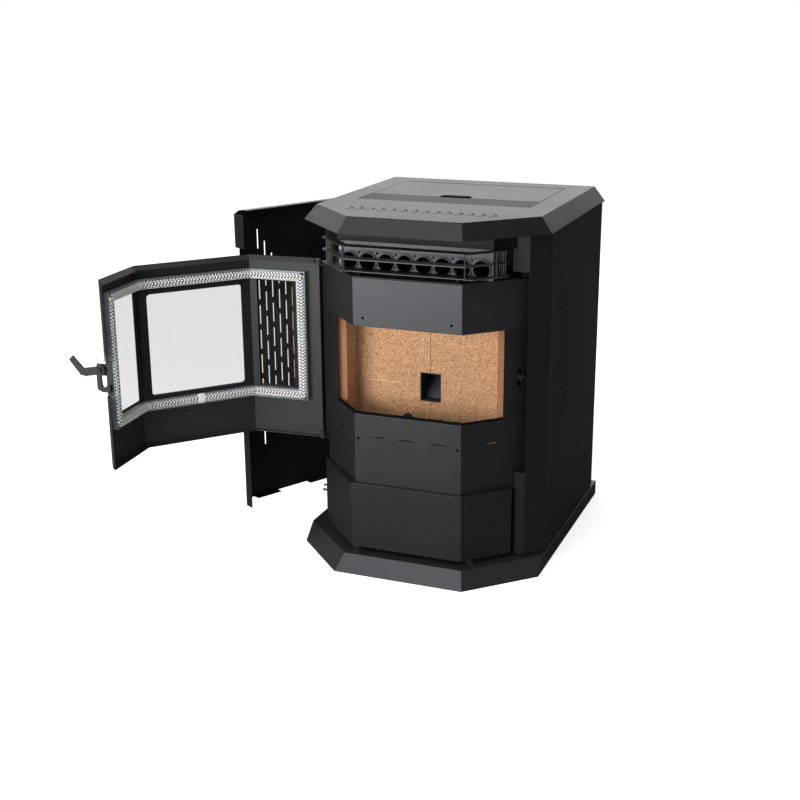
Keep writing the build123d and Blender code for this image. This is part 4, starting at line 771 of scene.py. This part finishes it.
def floor():
    """Wide white floor. To the camera it is a little brighter, and keeps the shadow. In the
    gloss of the paint it is dimmer, as the dark room beyond the white sweep was."""
    paint = Paint("studio_floor")
    camera_ray = paint.node("ShaderNodeLightPath", output="Is Camera Ray")
    gloss_ray = paint.node("ShaderNodeLightPath", output="Is Glossy Ray")
    matte = paint.node("ShaderNodeBsdfDiffuse", {"Color": (0.86, 0.86, 0.86, 1.0)}, output="BSDF")
    dim = paint.node("ShaderNodeBsdfDiffuse", {"Color": (0.13, 0.13, 0.13, 1.0)}, output="BSDF")
    glow = paint.node("ShaderNodeEmission", {"Color": (1, 1, 1, 1), "Strength": 0.62}, output="Emission")
    both = paint.node("ShaderNodeAddShader", (matte, glow), output="Shader")
    lit = paint.node("ShaderNodeMixShader", (camera_ray, matte, both), output="Shader")
    shown = paint.node("ShaderNodeMixShader", (gloss_ray, lit, dim), output="Shader")
    paint.node("ShaderNodeOutputMaterial", {"Surface": shown})
    reach = 30.0
    mesh = surface_mesh("floor", [(np.array([[(-reach, -reach, 0.0), (reach, -reach, 0.0)],
                                             [(-reach, reach, 0.0), (reach, reach, 0.0)]]), False, False)])
    ground = bpy.data.objects.new("floor", mesh)
    bpy.context.scene.collection.objects.link(ground)
    mesh.materials.append(paint.material)


def sky():
    """White to the camera and through glass, dim in the gloss of the paint, and a plain level
    of light otherwise."""
    world = bpy.data.worlds.new("studio")
    bpy.context.scene.world = world
    world.use_nodes = True
    tree = world.node_tree
    tree.nodes.clear()
    path = tree.nodes.new("ShaderNodeLightPath")
    seen = tree.nodes.new("ShaderNodeMath")
    seen.operation = "MAXIMUM"
    tree.links.new(path.outputs["Is Camera Ray"], seen.inputs[0])
    tree.links.new(path.outputs["Is Transmission Ray"], seen.inputs[1])
    level = tree.nodes.new("ShaderNodeMapRange")
    level.inputs["To Min"].default_value = SKY_LIGHT
    level.inputs["To Max"].default_value = SKY_GLOSS
    tree.links.new(path.outputs["Is Glossy Ray"], level.inputs["Value"])
    strength = tree.nodes.new("ShaderNodeMapRange")
    strength.inputs["To Max"].default_value = 1.0
    tree.links.new(level.outputs[0], strength.inputs["To Min"])
    tree.links.new(seen.outputs[0], strength.inputs["Value"])
    background = tree.nodes.new("ShaderNodeBackground")
    tree.links.new(strength.outputs[0], background.inputs["Strength"])
    background.inputs["Color"].default_value = (1.0, 1.0, 1.0, 1.0)
    output = tree.nodes.new("ShaderNodeOutputWorld")
    tree.links.new(background.outputs[0], output.inputs["Surface"])


def camera():
    """Camera from its place, its lens and its turn: yaw, pitch and roll."""
    yaw, pitch, roll = CAMERA_TURN
    forward = Vector((-sin(yaw) * cos(pitch), cos(yaw) * cos(pitch), -sin(pitch)))
    right = Vector((cos(yaw), sin(yaw), 0.0))
    up = right.cross(forward)
    x_axis = right * cos(roll) + up * sin(roll)
    y_axis = up * cos(roll) - right * sin(roll)
    data = bpy.data.cameras.new("camera")
    data.sensor_width = SENSOR_WIDTH
    data.lens = LENS
    holder = bpy.data.objects.new("camera", data)
    bpy.context.scene.collection.objects.link(holder)
    turn = Matrix((x_axis, y_axis, -forward)).transposed().to_4x4()
    holder.matrix_world = Matrix.Translation(CAMERA_PLACE) @ turn
    bpy.context.scene.camera = holder


floor()
sky()
for softbox in LAMPS:
    lamp(*softbox)
camera()
bpy.context.scene.view_settings.view_transform = "Standard"
